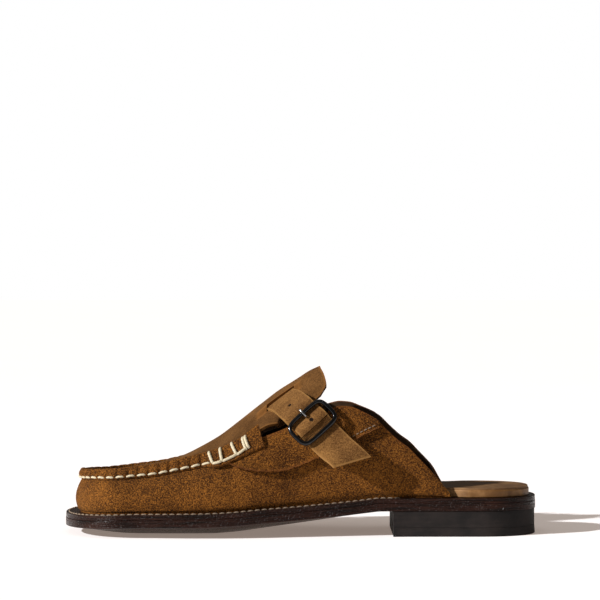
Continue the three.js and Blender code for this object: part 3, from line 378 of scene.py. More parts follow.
# %% The welt and its stitching
def loop_ring(name, z_low, z_high, inset_out, inset_in, q, closed, dome=0.0, columns=9, sharp=50):
    """A strip round the shoe between two insets; its upper face may be crowned by dome."""
    q = np.asarray(q)[:, None]
    c = np.linspace(0, 1, columns)[None]
    base = outline(q[:, 0])[0][:, None] + 0 * c
    inset = mix(inset_out(base), inset_in(base), c)
    x, y = outline(q + 0 * c, inset)
    drop = sag(x, y)
    high = z_high(x) - drop + dome * (np.sin(c * np.pi) - 0.6)
    top, low = np.stack([x, y, high], -1), np.stack([x, y, z_low(x) - drop], -1)
    run = path_length(np.stack([*outline(q[:, 0])], 1))[:, None] + 0 * c
    lay = np.stack([run, inset, 0 * run + 7.3], -1)
    return sheet_piece(name, top, low, closed=closed, lay=lay, rim=ease(0.3, 0, c) + 0 * q, sharp=sharp)


round_q = np.linspace(-plan_end, plan_end, 721)[:-1]
welt = loop_ring("welt_strip", lambda x: edge_z(x) + outsole_t + 0.02, welt_top, level(0.15), level(welt_w),
                 round_q, True, columns=13)
bevelled(welt, 0.3, 3)
put(welt, "shoe", "sole_leather", "welt")


def rods(centres, along, up, radius, sides=8, twist=0.0, ply=0.0):
    """Rings round each point of many centre lines (rods, n, 3); ply swells them in two turning strands."""
    side = unit(np.cross(along, up))
    top = unit(np.cross(side, along))
    n = centres.shape[1]
    phi = np.linspace(0, 2 * np.pi, sides, endpoint=False)[None, None, :, None]
    turn = (np.linspace(0, 1, n) * twist)[None, :, None, None]
    r = np.asarray(radius)[..., None, None] * (1 - ply + ply * np.abs(np.cos(phi - turn)))
    return centres[:, :, None] + r * (np.cos(phi) * top[:, :, None] + np.sin(phi) * side[:, :, None])


def stitch_row(line, up, step, length, radius, lift, dive, phase=0.5, points=7, sides=7, **more):
    """Separate stitches along a dense line: each rises out of the leather, runs, and dives back in."""
    s = path_length(line)
    count = int((s[-1] - phase * step) // step) + 1
    centre = (np.arange(count) + phase) * step
    t = np.linspace(-1, 1, points)
    at = np.clip(centre[:, None] + t[None] * length / 2, 0, s[-1])
    pos = np.stack([np.interp(at, s, line[:, c]) for c in range(3)], -1)
    ups = unit(np.stack([np.interp(at, s, up[:, c]) for c in range(3)], -1))
    pos = pos + ups * (lift - dive * np.abs(t) ** 3)[None, :, None]
    along = unit(np.gradient(pos, axis=1))
    slim = radius * (1 - 0.25 * np.abs(t) ** 4)[None] + 0 * at
    return rods(pos, along, ups, slim, sides=sides, **more)


stitch_end = toe_n + side_n - 4.0
line_q = np.linspace(-stitch_end, stitch_end, 1400)
lx, ly = outline(line_q, 2.0)
welt_line = np.stack([lx, ly, welt_top(lx) - sag(lx, ly)], 1)
welt_up = np.tile([0.0, 0, 1], (len(welt_line), 1))
welt_stitches = rod_piece("welt_lockstitch", stitch_row(welt_line, welt_up, welt_pitch, 3.1, 0.42, 0.16, 0.45,
                                                        points=5, sides=6))
put(welt_stitches, "shoe", "tonal_thread", "welt_stitching")


# %% The footbed
def rim_out(x):
    return mix(7.6, 3.7, ease(84, 97, x))


foam_low = lambda x: welt_top(x) + gap + board_t + layer_gap
foam_high = lambda x: foam_low(x) + foam_t
rim_t0 = float(np.interp(74, outline(np.linspace(8, 26, 900))[0], np.linspace(8, 26, 900)))
rim_q = np.concatenate([np.linspace(-rim_t0, -plan_end, 200), np.linspace(plan_end, rim_t0, 200)[1:]])
rand = loop_ring("footbed_rand", lambda x: welt_top(x) + layer_gap, lambda x: foam_high(x) + 0.1, rim_out,
                 lambda x: rim_out(x) + rim_w, rim_q, False, dome=0.35, columns=7)
bevelled(rand, 0.5, 3)
put(rand, "shoe", "tan_leather", "footbed_rim")

sock_inset = lambda x: rim_out(x) + 0.6 + 2.8 * (1 - ease(-126, -95, x))
sock = slab("sock_leather", lambda x: foam_high(x) + layer_gap, lambda x: foam_high(x) + layer_gap + sock_t,
            sock_inset, count=200)
bevelled(sock, 0.4, 3)
put(sock, "shoe", "dark_leather", "sock_liner")

# %% [markdown]
# ## The upper: wrap, ridge and lining
# A moccasin's wrap comes up round the foot from below and is gathered to the apron with hand
# stitches; the spare edge stands up as a ridge, pinched at each stitch. One surface carries them all:
# u runs round the shoe from the outer back end by the toe to the inner back end, v runs up the side.

# %% The surface of the side
def profile(v, foot, wide, top):
    """Half-width up the side: swells in a parabola to the widest place, then leans in to the top."""
    low = foot + (wide - foot) * (1 - (1 - np.minimum(v, widest_at) / widest_at) ** 2)
    up = np.clip((v - widest_at) / (1 - widest_at), 0, 9)
    return np.where(v < widest_at, low, wide - (wide - top) * up ** 1.9)


def side_top(x, side):
    low = inner_drop * ease(-133, -113, x) * (1 - ease(-60, -25, x))
    back = 2.8 * ease(22, 50, x) * (1 - ease(76, 84, x))
    return np.where(side > 0, top_z(x - back) - low, top_z(x))


def half_at(x, side, v):
    foot = np.where(side < 0, foot_half[-1](x), foot_half[1](x))
    top = np.where(side < 0, top_half[-1](x), top_half[1](x))
    return profile(v, foot, foot + swell(x), top)


def upper(u, v, lift=0.0):
    """Point of the side at (u, v), moved out along the surface normal by lift."""
    u, v, lift = np.broadcast_arrays(np.asarray(u, float), np.asarray(v, float), np.asarray(lift, float))

    def at(uu, vv):
        side, a = np.where(uu < 0, -1.0, 1.0), np.abs(uu)
        f = np.clip(a / fan_share, 0, 1) * np.pi / 2
        reach = profile(vv, *toe_reach)
        x1 = toe_fan - reach * np.abs(np.cos(f)) ** (2 / toe_power)
        y1 = side * half_at(toe_fan, side, vv) * np.sin(f) ** (2 / toe_power) + toe_shift(x1)
        x2 = mix(toe_fan, side_end, (a - fan_share) / (1 - fan_share))
        x = np.where(a < fan_share, x1, x2)
        y = np.where(a < fan_share, y1, side * half_at(x2, side, vv))
        return np.stack([x, y, mix(welt_top(x) + gap, side_top(x, side), vv)], -1)

    e = 1e-3
    normal = np.cross(at(u, v + e) - at(u, v - e), at(u + e, v) - at(u - e, v))
    return at(u, v) + unit(normal) * lift[..., None]


def u_at(x, side):
    return side * mix(fan_share, 1, (x - toe_fan) / (side_end - toe_fan))


def v_at(x, z, side):
    return (z - welt_top(x) - gap) / (side_top(x, side) - welt_top(x) - gap)


fine_u = np.linspace(-1, 1, 8001)
seam_run = path_length(upper(fine_u, 1.0))
run_at = lambda u: np.interp(u, fine_u, seam_run)
u_of_run = lambda s: np.interp(s, seam_run, fine_u)
tie_u = {side: float(u_at(-50.0, side)) for side in (-1, 1)}
row_start, row_end = run_at(tie_u[-1]), run_at(tie_u[1])
stitches = int(round((row_end - row_start) / pitch))
step = (row_end - row_start) / stitches
print("hand stitches round the toe", stitches, "every", round(step, 2), "mm")


def pinch(u):
    """1 at each needle hole of the hand seam, 0 halfway between; fades out behind the tie-off."""
    s = (run_at(u) - row_start) / step
    wave = np.cos(s * 2 * np.pi) * 0.5 + 0.5
    inside = ease(-0.6, 0.2, s) * (1 - ease(stitches - 0.2, stitches + 0.6, s))
    return wave ** 3.5 * inside


def ripple(x, z, k=1.0):
    """Soft unevenness of hand-lasted leather, a few tenths of a millimetre."""
    slow = 0.16 * np.sin(x * 0.21 * k + 0.9 * np.sin(z * 0.13))
    return slow + 0.12 * np.sin(z * 0.33 + x * 0.09 * k + 1.3)


# %% The wrap
fan = np.linspace(0, fan_share, 120)
half_u = np.concatenate([fan, np.linspace(fan_share, 1, 300)[1:]])
wrap_u = np.concatenate([-half_u[::-1], half_u[1:]])
wall_v = np.concatenate([np.linspace(0, 0.12, 7), np.linspace(0.12, 0.86, 22)[1:],
                         np.linspace(0.86, 1, 13)[1:]])


def wall_grid(base_lift, dented=True):
    u, v = wrap_u[:, None], wall_v[None]
    flat = upper(u, v)
    rise = (side_top(flat[..., 0], np.where(u < 0, -1, 1)) - welt_top(flat[..., 0])) * (1 - v)
    lift = base_lift + 0 * flat[..., 0]
    if dented:
        front = 1 - ease(-62, -44, flat[..., 0])
        lift = lift + ripple(flat[..., 0], flat[..., 2]) * ease(0, 0.2, v) * ease(1.0, 0.9, v)
        lift = lift - front * pinch(u) * 0.55 * np.exp(-rise / 3.2)
        lift = lift - 0.5 * front * np.exp(-((rise - 0.2) / 1.1) ** 2)
        lift = lift - 0.9 * (1 - ease(0, 0.11, v)) ** 2
    return upper(u, v, lift)


def with_foot(grid):
    """Adds the margin that turns in under the shoe and lies on the welt."""
    corner = grid[:, :1].copy()
    mid = np.stack([np.clip(corner[..., 0], toe_fan, 999), 0 * corner[..., 1], corner[..., 2]], -1)
    d = unit((mid - corner) * [1, 1, 0])
    reach = mix(3.4, 0.6, ease(30, 60, corner[..., :1]))
    return np.concatenate([corner + d * reach, corner, grid[:, 1:]], 1)


outer, inner = with_foot(wall_grid(0.0)), with_foot(wall_grid(-wrap_t, False))
outer[:, :2, 2] = welt_top(outer[:, :2, 0]) + gap * 0.3
inner[:, :2, 2] = outer[:, :2, 2] + wrap_t
lay = np.stack([run_at(wrap_u)[:, None] + 0 * outer[..., 0], outer[..., 2], 0 * outer[..., 0]], -1)
wall_rim = np.zeros(outer.shape[:2])
wall_rim[:, -3:] = np.array([0.15, 0.6, 1.0]) * ease(-10, 10, outer[:, -1, 0])[:, None]
wrap = sheet_piece("wrap_suede", outer, inner, lay=lay, rim=wall_rim)
bevelled(wrap, 0.45, 2)
put(wrap, "shoe", "suede", "vamp_wrap")


# %% The ridge and its free tabs
def outward(u):
    """Plan direction away from the shoe at the seam."""
    d = (upper(u, 0.98, 1.0) - upper(u, 0.98)) * [1, 1, 0]
    return unit(d)


def ridge_frame(u):
    """Low inner, low outer and top points of the ridge at u, and the way outward."""
    u = np.asarray(u, float)
    side = np.where(u < 0, -1.0, 1.0)
    seam = upper(u, 1.0)
    x, z = seam[..., 0], seam[..., 2]
    tab = ease(tab_start - 6, tab_start + 5, x)
    stand = mix(-0.7 * wrap_t, quarter_t + 2 * gap, tab)
    out = outward(u)
    low = v_at(x, z - mix(1.2, tab_drop, tab), side)
    lean = mix(0.1, 3.4, ease(-70, -35, x)) - 1.0 * ease(-112, -124, x)
    top = upper(u, 1.0, stand) - out * lean[..., None]
    top[..., 2] = z + ridge_z(x)
    return upper(u, low, stand), upper(u, low, stand + wrap_t), top, out, tab


def ridge_face(u, t, lift=0.0):
    """Point on the outer face of the ridge, t from its foot to its top, bowed out a little."""
    low, low_out, top, out, tab = ridge_frame(u)
    t = np.asarray(t, float)[..., None]
    bow = (1.1 - 0.5 * tab)[..., None] * np.sin(np.pi * t)
    return mix(low_out, top + out * wrap_t, t) + out * (bow + lift)


ridge_stop = abs(float(u_at(ridge_end, 1)))
inside_u = wrap_u[np.abs(wrap_u) < ridge_stop - 0.002]
between_u = 0.5 * (inside_u[1:] + inside_u[:-1])
ridge_u = np.unique(np.concatenate([[-ridge_stop], inside_u, [ridge_stop], between_u]))


def ridge_sections():
    """Rings round the ridge: up the outer face, over a rolled top, down the inner face."""
    low, _, _, out, tab = ridge_frame(ridge_u)
    p = pinch(ridge_u)[:, None]
    t = np.linspace(0.0, 1.0, 12)
    face = np.stack([ridge_face(ridge_u, np.full(len(ridge_u), k)) for k in t], 1)
    dent = 1.0 * p * np.sin(np.pi * np.clip(t * 0.92 + 0.04, 0, 1)) ** 0.6 * (1 - tab[:, None])
    face = face - out[:, None] * dent[..., None]
    face[..., 2] -= (p * 0.22 * t ** 3) * (1 - tab[:, None])
    back_w = mix(1.5, 0.0, tab)[:, None, None]
    roll = np.linspace(0, np.pi, 7)[1:-1]
    width = wrap_t + back_w
    centre = face[:, -1:] - out[:, None] * width / 2
    cap = centre + out[:, None] * np.cos(roll)[None, :, None] * width / 2
    cap[..., 2] += np.sin(roll) * mix(1.0, 0.35, tab)[:, None]
    inner_top = face[:, -1] - out * width[:, 0]
    down = np.linspace(0, 1, 7)[None, :, None]
    back = mix(inner_top[:, None], (low - out * back_w[:, 0])[:, None], down)
    return np.concatenate([face, cap, back], 1)


rings = ridge_sections()
share = (rings[..., 2].max(1, keepdims=True) - rings[..., 2]) / np.ptp(rings[..., 2], axis=1, keepdims=True)
rings[..., 0] += 4.2 * share * ease(-36, ridge_end, rings[..., 0].mean(1, keepdims=True))
ridge = rod_piece("ridge_suede", rings[None], sharp=55)
bevelled(ridge, 0.25, 2, 50)
put(ridge, "shoe", "suede", label="ridge length %.0f mm" % (run_at(ridge_stop) - run_at(-ridge_stop)))

# %% The lining of the wrap
lining_v = np.linspace(0.14, 0.998, 20)
coarse_u = np.linspace(-0.995, 0.995, 260)
lining = sheet_piece("wrap_lining", upper(coarse_u[:, None], lining_v[None], -wrap_t + 0.15),
                     upper(coarse_u[:, None], lining_v[None], -wrap_t - gap - lining_t))
bevelled(lining, 0.25)
put(lining, "shoe", "dark_leather", "vamp_lining")

# %% [markdown]
# ## Apron and tongue
# The apron is the lid of the toe box and runs back as a tongue with a notched end. Two slanted slits
# let the strap pass under its middle. The grid's columns bend to follow the slit, so leaving out the
# quads between two columns opens a clean slit.

# %% The dome of the apron
def slit_y(x):
    return mix(slit_y0, slit_y1, (x - slit_x0) / (slit_x1 - slit_x0))


def slit_lift(x, y):
    """The middle flap rides up over the strap and the outer part dips under it."""
    along = ease(slit_x0 - 8, slit_x0 + 3, x) * (1 - ease(slit_x1 - 3, slit_x1 + 8, x))
    off = np.abs(y) - slit_y(x)
    up = along * 0.7 * ease(-9, -slit_half, off)
    down = -along * 2.4 * (1 - 0.6 * ease(8, 18, off))
    return mix(up, down, ease(-slit_half, slit_half, off))


def apron_grid(rows_toe=26, rows_mid=46, rows_tongue=130, cols=50):
    """Points, slit mask and lay of the apron: rows from the toe back, columns from side to side."""
    f = np.linspace(0, np.pi / 2, rows_toe, endpoint=False)
    xs = np.concatenate([toe_fan - (toe_reach[2] - apron_inset) * np.cos(f) ** (2 / toe_power),
                         np.linspace(toe_fan, -45, rows_mid, endpoint=False),
                         np.linspace(-45, tongue_end, rows_tongue)])
    half = np.concatenate([apron_half(toe_fan) * np.sin(f) ** (2 / toe_power), apron_half(xs[rows_toe:])])
    p = np.linspace(0, 1, cols + 1)
    a = np.maximum(0.2 * half, slit_y(xs) - slit_half) / np.maximum(half, 1)
    b = np.minimum(0.8, (slit_y(xs) + slit_half) / np.maximum(half, 1))
    k = ease(-70, -32, xs)[:, None]
    ka, kb = 0.42, 0.58
    beyond = np.where(p < kb, mix(a[:, None], b[:, None], (p - ka) / (kb - ka)),
                      mix(b[:, None], 1, (p - kb) / (1 - kb)))
    bent = np.where(p < ka, p / ka * a[:, None], beyond)
    t = mix(p[None] + 0 * bent, bent, k)
    t = np.concatenate([-t[:, :0:-1], t], 1)
    side = np.concatenate([-np.ones(cols), np.ones(cols + 1)])[None]
    hy = np.abs(t) * half[:, None]
    x0 = xs[:, None] + 0 * t
    seam = side_top(x0, side) + 0.45 * ridge_z(x0)
    edge = mix(seam, tongue_edge(x0), ease(-50, -34, x0))
    power = mix(2.2, 1.45, ease(-70, -20, x0))
    z = crest_z(x0) - (crest_z(x0) - edge) * np.abs(t) ** power + slit_lift(x0, t * half[:, None])
    shape = ease(0, 13, hy) * lobe - 0.9 * np.clip(hy - 13, 0, 99) ** 1.4
    x = x0 + shape * ease(-14, tongue_end, x0)
    z = z + 0.75 * (x - x0)
    y = t * half[:, None] + toe_shift(x0)
    keep = np.ones((len(xs) - 1, 2 * cols), bool)
    mid_x = (xs[1:] + xs[:-1]) / 2
    c0, c1 = cols + int(round(ka * cols)), cols + int(round(kb * cols))
    open_rows = (mid_x > slit_x0 + 4.6) & (mid_x < slit_x1 - 2.6)
    keep[np.ix_(open_rows, np.r_[c0:c1, 2 * cols - c1:2 * cols - c0])] = False
    lay = np.stack([x0, y, 0 * x0], -1)
    rim = np.maximum(ease(0.94, 1.0, np.abs(t)) * ease(-40, -30, x0), ease(-1.6, 0, x0 - tongue_end))
    off = np.abs(np.abs(t * half[:, None]) - slit_y(x0))
    rim = np.maximum(rim, ease(1.0, 0.0, off - slit_half) * ease(-26, -24, x0) * ease(0, -2, x0))
    return np.stack([x, y, z], -1), keep, lay, rim


dome, keep, lay, rim = apron_grid()
du, dv = np.gradient(dome, axis=0), np.gradient(dome, axis=1)
normal = unit(np.cross(du, dv))
normal[0] = unit(np.array([-0.3, 0, 1.0]))
wavy = ripple(dome[..., 0] * 0.8, dome[..., 1]) * ease(-92, -70, dome[..., 0]) * 0.8
apron = sheet_piece("apron_suede", dome + normal * wavy[..., None], dome - normal * wrap_t, keep, lay=lay,
                    rim=rim)
bevelled(apron, 0.3)
put(apron, "shoe", "suede_smooth", "apron", label="with two strap slits")
middle = np.abs(lay[1:, 1:, 1]) < slit_y(lay[1:, 1:, 0]) + 2.0
lined = keep & ~(middle & (lay[1:, 1:, 0] > slit_x0 - 2) & (lay[1:, 1:, 0] < slit_x1 + 3))
under = sheet_piece("apron_lining_leather", dome - normal * (wrap_t + 0.3),
                    dome - normal * (wrap_t + 1.1 + lining_t), lined, lay=lay)
put(under, "shoe", "dark_leather", "apron_lining")

# %% [markdown]
# ## Quarter panels
# A second panel is sewn over the wrap on each side under the tongue; its lower edge is left raw, so
# it stands proud and shows a redder cut edge with a shadow below it.

# %% Quarters
def quarter_grid(side, lift, n=230, m=26):
    us = np.linspace(u_at(quarter_front, side), u_at(quarter_back, side), n)
    x = upper(us, 1.0)[:, 0]
    low = v_at(x, quarter_low(x) + 0.18 * np.sin(x * 1.1) + 0.12 * np.sin(x * 2.7), side)
    v = mix(low[:, None], 0.995, np.linspace(0, 1, m)[None] ** 1.15)
    return upper(us[:, None], v, lift)


for side, word in ((-1, "outer"), (1, "inner")):
    outer, inner = quarter_grid(side, gap + quarter_t), quarter_grid(side, gap * 0.3)
    lift_more = 0.12 * np.sin(outer[..., 0] * 0.3) * ease(0, 0.3, np.linspace(0, 1, 26)[None])
    outer[..., 1] += side * lift_more
    proud = raw_edge_lift * np.exp(-np.arange(26) / 1.6)[None, :, None] * np.array([0, side, 0])
    outer, inner = outer + proud, inner + proud
    rim = np.zeros(outer.shape[:2])
    rim[:, :3] = np.array([1.0, 0.5, 0.15])
    rim[:, -2:] = 0.5
    lay = np.stack([outer[..., 0], outer[..., 2], 0 * outer[..., 0]], -1)
    panel = sheet_piece("quarter_panel_" + word, outer, inner, lay=lay, rim=rim)
    bevelled(panel, 0.35, 3)
    put(panel, "shoe", "suede", "quarter_" + word)
    ux = np.linspace(u_at(24.0, side), u_at(quarter_back - 2, side), 160)
    x = upper(ux, 1.0)[:, 0]
    vv = v_at(x, quarter_low(x) + 2.2, side)
    line, tip = upper(ux, vv, gap + quarter_t), upper(ux, vv, gap + quarter_t + 1)
    seam = rod_piece("quarter_stitches_" + word, stitch_row(line, tip - line, 2.6, 1.9, 0.3, 0.1, 0.35,
                                                            points=5, sides=6))
    put(seam, "shoe", "tonal_thread", "quarter_thread_" + word)

# %% [markdown]
# ## Hand stitching
# The seam round the toe is sewn with thick waxed cream thread: it comes out, runs over the leather for
# four millimetres and goes back in, pulling the edge down each time. Four upright stitches tie the
# free tab down at each end, and their feet are linked by running stitches.

# %% Stitches of the toe seam
seam_u = u_of_run(np.linspace(row_start, row_end, 4000))
tt = 0.24 + 0.02 * np.sin(np.arange(4000) * 0.05)
pos, tip = ridge_face(seam_u, tt), outward(seam_u) * 0.92 + np.array([0, 0, 0.25])
seam_rings = stitch_row(pos, tip, path_length(pos)[-1] / stitches, 4.5, 0.68, 0.1, 0.75, points=15, sides=12,
                        twist=7.0, ply=0.22)
toe_stitches = rod_piece("toe_hand_stitches", seam_rings, sharp=80)
put(toe_stitches, "shoe", "cream_thread", "moc_thread", label="%d stitches" % len(seam_rings))


# %% Tie-off stitches
def upright(side, x_low, x_top, t_low, t_top, radius):
    n = 17
    k = np.linspace(0, 1, n)
    u = u_at(mix(x_low, x_top, k), side)
    pos = ridge_face(u, mix(t_low, t_top, k))
    out = unit(outward(u))
    rise = np.clip(np.minimum(k, 1 - k) / 0.14, 0, 1) ** 0.5
    pos = pos + out * (radius * 1.05 * rise - 0.25)[:, None]
    along = unit(np.gradient(pos, axis=0))
    return rods(pos[None], along[None], out[None], radius + 0 * k[None], sides=12, twist=13.0, ply=0.2)[0]


tie_at = [(-48.6, -51.4), (-43.2, -45.0), (-34.9, -38.6), (-29.0, -31.6)]
for side, word in ((-1, "outer"), (1, "inner")):
    bars = [upright(side, a, b, 0.22, 0.97, 0.95) for a, b in tie_at[:3]]
    bars += [upright(side, tie_at[3][0] - 0.6, tie_at[3][1] - 0.7, 0.17, 0.9, 0.95),
             upright(side, tie_at[3][0] + 0.7, tie_at[3][1] + 0.7, 0.16, 0.88, 0.95)]
    bars += [upright(side, a, b, 0.2, 0.22, 0.8) for a, b in ((-48.2, -43.8), (-42.8, -35.4), (-34.5, -29.4))]
    tie = rod_piece("tie_off_stitches_" + word, np.array(bars), sharp=80)
    put(tie, "shoe", "cream_thread", "tie_off_" + word)

# %% [markdown]
# ## Strap and buckle
# The strap starts flat on the inner quarter, passes up through the slits under the tongue flap, comes
# down over the outer quarter, bulges over the buckle's centre bar and ends free beyond the frame. It
# is one band of leather, so one surface is bent over the joint where the free end lifts.

# %% The buckle's own axes
buckle_x, buckle_z = 6.8, 62.2
bar_across, bar_along, bar_w, bar_t, centre_r, chape_t = 27.5, 17.8, 2.9, 2.6, 0.8, 0.8
prong_r, strap_w, strap_t, hinge_s, stand_off = 0.65, 20.0, 1.6, 11.8, 4.2
centre_h = 0.15 + centre_r + 0.2 + 2 * prong_r
over_h = centre_h + centre_r + 0.2 + 2 * prong_r + gap + strap_t / 2
under_h = 2 * gap + chape_t + strap_t / 2
frame_h = under_h + strap_t / 2 + 0.75 + bar_t / 2
bu, bv = u_at(buckle_x, -1), v_at(buckle_x, buckle_z, -1)
seat = upper(bu, bv, gap + quarter_t)
up_dir = unit(upper(bu, bv, 1.0) - upper(bu, bv))


def on_plane(x, z):
    return unit(np.array([x, -(up_dir[0] * x + up_dir[2] * z) / up_dir[1], z]))


along_dir = unit(on_plane(0.75, -0.66) - 0.05 * on_plane(0.789, 0.614))
across_dir = unit(np.cross(up_dir, along_dir))


def on_buckle(s, w, h):
    """Point at s along the strap, w across it and h above the quarter, from the buckle's seat."""
    s, w, h = (np.asarray(k, float)[..., None] for k in (s, w, h))
    return seat + along_dir * s + across_dir * w + up_dir * h


print("buckle seat", np.round(seat, 2), "along", np.round(along_dir, 3))

# %% The strap as one band
slit_across, top_across = unit(np.array([0.735, 0.37, 0.57])), unit(np.array([0.816, 0, 0.578]))
end_dir, tip_across = unit(np.array([0.7, -0.2, -0.68])), unit(np.array([0.69, 0.36, 0.63]))
seat_s = np.array([-11.5, -9.6, -8, -6.4, -5, -3.4, -1.7, 0, 1.7, 3.4, 5, 6.4, 8, 9.6])
towards = lambda k: mix(slit_across, across_dir, k)
outer_half = [((-12.8, -4.5, 77.7), mix(top_across, slit_across, 0.4)),
              ((-12, -8, 76.7), mix(top_across, slit_across, 0.8)), ((-11, -11.0, 76.3), slit_across),
              ((-8.4, -15.8, 75.8), towards(0)), ((-6.1, -21, 74.7), towards(0.4)),
              ((-3.9, -26.5, 73.2), towards(0.8))]
mirror = np.array([1.0, -1, 1])
stations = [(on_buckle(s, 0, under_h - 0.4) * mirror, across_dir * mirror) for s in (2, -8, -13)]
stations += [(np.array(c) * mirror, w * mirror) for c, w in outer_half[::-1]]
stations += [(np.array([-13, 0, 78.1]), top_across)]
stations += [(np.array(c), w) for c, w in outer_half]
over_bar = lambda s: mix(over_h - 0.6, under_h, float(ease(0, 7.2, abs(s))))
stations += [(on_buckle(s, 0, over_bar(s)), across_dir) for s in seat_s]
hinge = on_buckle(hinge_s, 0, under_h)
centre_row = resampled(np.array([np.concatenate([c, unit(w)]) for c, w in stations]), 300)
band_c, band_w = centre_row[:, :3], unit(centre_row[:, 3:])
w_cols = np.linspace(-strap_w / 2, strap_w / 2, 33)
band = band_c[:, None] + band_w[:, None] * w_cols[None, :, None]
tail_t = np.linspace(0, 1, 90)[:, None]
reach = mix(15.6, 25.6, (w_cols[None] + strap_w / 2) / strap_w) * tail_t
tail_across = unit(across_dir + (tip_across - across_dir) * np.clip(tail_t * 1.4, 0, 1)[..., None])
curl = stand_off * ease(0.0, 1, tail_t) ** 1.2
tail = (hinge + along_dir * (reach * 0.25 * (1 - tail_t))[..., None]
        + end_dir * (reach * (0.75 + 0.25 * tail_t))[..., None]
        + tail_across * w_cols[None, :, None] + up_dir * curl[..., None])
whole = np.concatenate([band, tail[1:]])
steps = np.linalg.norm(np.diff(whole, axis=0), axis=2)
run = np.concatenate([np.zeros((1, len(w_cols))), np.cumsum(steps, 0)])
zero_run = run[np.argmin(np.abs((band_c - on_buckle(0, 0, over_h)) @ along_dir) + 50 * (band_c[:, 1] > 0))]
bn = unit(np.cross(unit(np.gradient(whole, axis=0)), unit(np.gradient(whole, axis=1))))
bn *= np.sign((bn[:, 16:17] * [0, 0, 1]).sum(-1, keepdims=True) + 1e-9)
bulge = np.exp(-((run - zero_run) / 4.6) ** 2) * (1 - (w_cols[None] / 10) ** 2) * 0.5
waves = 0.18 * np.sin(run * 0.35 + w_cols[None] * 0.12) * ease(8, 18, run - zero_run)
mid = whole + bn * (bulge + waves)[..., None]
lay = np.stack([run - zero_run, w_cols[None] + 0 * run, 0 * run], -1)
rim = np.maximum(ease(9.0, 10.0, np.abs(w_cols))[None] + 0 * run, ease(1.2, 0, run[-1:] - run))
strap = sheet_piece("strap_band", mid + bn * strap_t / 2, mid - bn * strap_t / 2, lay=lay, rim=rim)
bevelled(strap, 0.28, 2)
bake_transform(strap)
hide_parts("strap", "strap_end")
print("strap length", round(float(run[-1].mean()), 1), "mm")

# %% Buckle frame: a rounded bar swept round a soft rectangle
phi = np.linspace(0, 2 * np.pi, 240, endpoint=False)
power = lambda v, e: np.sign(v) * np.abs(v) ** e
ca, sa = power(np.cos(phi), 2 / 5.2), power(np.sin(phi), 2 / 5.2)
mid_a, mid_b = bar_along / 2 - bar_w / 2 + 0.15, bar_across / 2 - bar_w / 2 + 0.15
s_line, w_line = mid_a * ca, mid_b * sa * (1 - 0.05 * ca ** 2) + 0.4
around = lambda line: np.roll(line, -1) - np.roll(line, 1)
tangent = unit(np.stack([around(s_line), around(w_line)], 1))
theta = np.linspace(0, 2 * np.pi, 20, endpoint=False)
c_out, c_up = power(np.cos(theta), 2 / 2.8), power(np.sin(theta), 2 / 2.4)
slim = 0.82
ring_s = s_line[:, None] + tangent[:, 1:] * (c_out[None] * slim + 1 - slim) * bar_w / 2
ring_w = w_line[:, None] - tangent[:, :1] * (c_out[None] * slim + 1 - slim) * bar_w / 2
ring_h = frame_h + c_up[None] * bar_t / 2 * (1 - 0.18 * c_out[None])
frame_rings = on_buckle(ring_s, ring_w, ring_h)
buckle = rod_piece("buckle_ring", frame_rings[None], caps=False, closed=True, sharp=50)
put(buckle, "buckle", "gunmetal", "buckle_frame")


def bent_rod(name, points, radius, count=90, sides=16):
    """A round rod through its points, as one piece."""
    line = resampled(points, count)[None]
    along = unit(np.gradient(line, axis=1))
    up = np.broadcast_to(across_dir if name.startswith("prong") else up_dir, line.shape)
    return rod_piece(name, rods(line, along, up, radius + 0 * line[..., 0], sides=sides), sharp=60)


w_end = bar_across / 2 - bar_w / 2
bar_w_run = [-w_end, -w_end + 1.6, -w_end + 2.6, w_end - 2.6, w_end - 1.6, w_end]
bar_h_run = [frame_h, centre_h + 1, centre_h, centre_h, centre_h + 1, frame_h]
centre_bar = bent_rod("centre_bar", on_buckle(np.zeros(6), bar_w_run, bar_h_run), centre_r)
put(centre_bar, "buckle", "gunmetal")

# %% Prong
eye, rest_h = centre_r + 0.2 + prong_r, frame_h + bar_t / 2 + prong_r + 0.2
inside_s = -(bar_along / 2 - bar_w) + prong_r + 0.25
turn = np.linspace(-2.4, 1.6, 12)
prong_s = np.concatenate([eye * np.cos(turn), [-3, inside_s + 0.6, inside_s + 0.1, inside_s, inside_s - 1.1,
                          -bar_along / 2 - 0.3, -bar_along / 2 - 0.9]])
prong_h = np.concatenate([centre_h + eye * np.sin(turn), [centre_h + 0.5, centre_h + 1.5, frame_h,
                          rest_h - 0.8, rest_h, rest_h, rest_h - 0.3]])
prong = bent_rod("prong_wire", on_buckle(prong_s, 0 * prong_s, prong_h), prong_r)
put(prong, "prong", "bright_metal", "buckle_prong")

# %% [markdown]
# ## Finishes
# Suede is the flesh side of leather, buffed to a nap: short fibres lie in patches that catch the light
# differently, so it is mottled in two scales, rough, with a faint sheen. Cut edges are paler and
# redder. One node group makes the nap for every suede; a second one makes smooth leather grain.

# %% Small helpers for node trees
def rgb(text):
    """Colour from a hex word, as linear light."""
    c = [int(text[i:i + 2], 16) / 255 for i in (0, 2, 4)]
    return tuple(k / 12.92 if k <= 0.04045 else ((k + 0.055) / 1.055) ** 2.4 for k in c) + (1.0,)


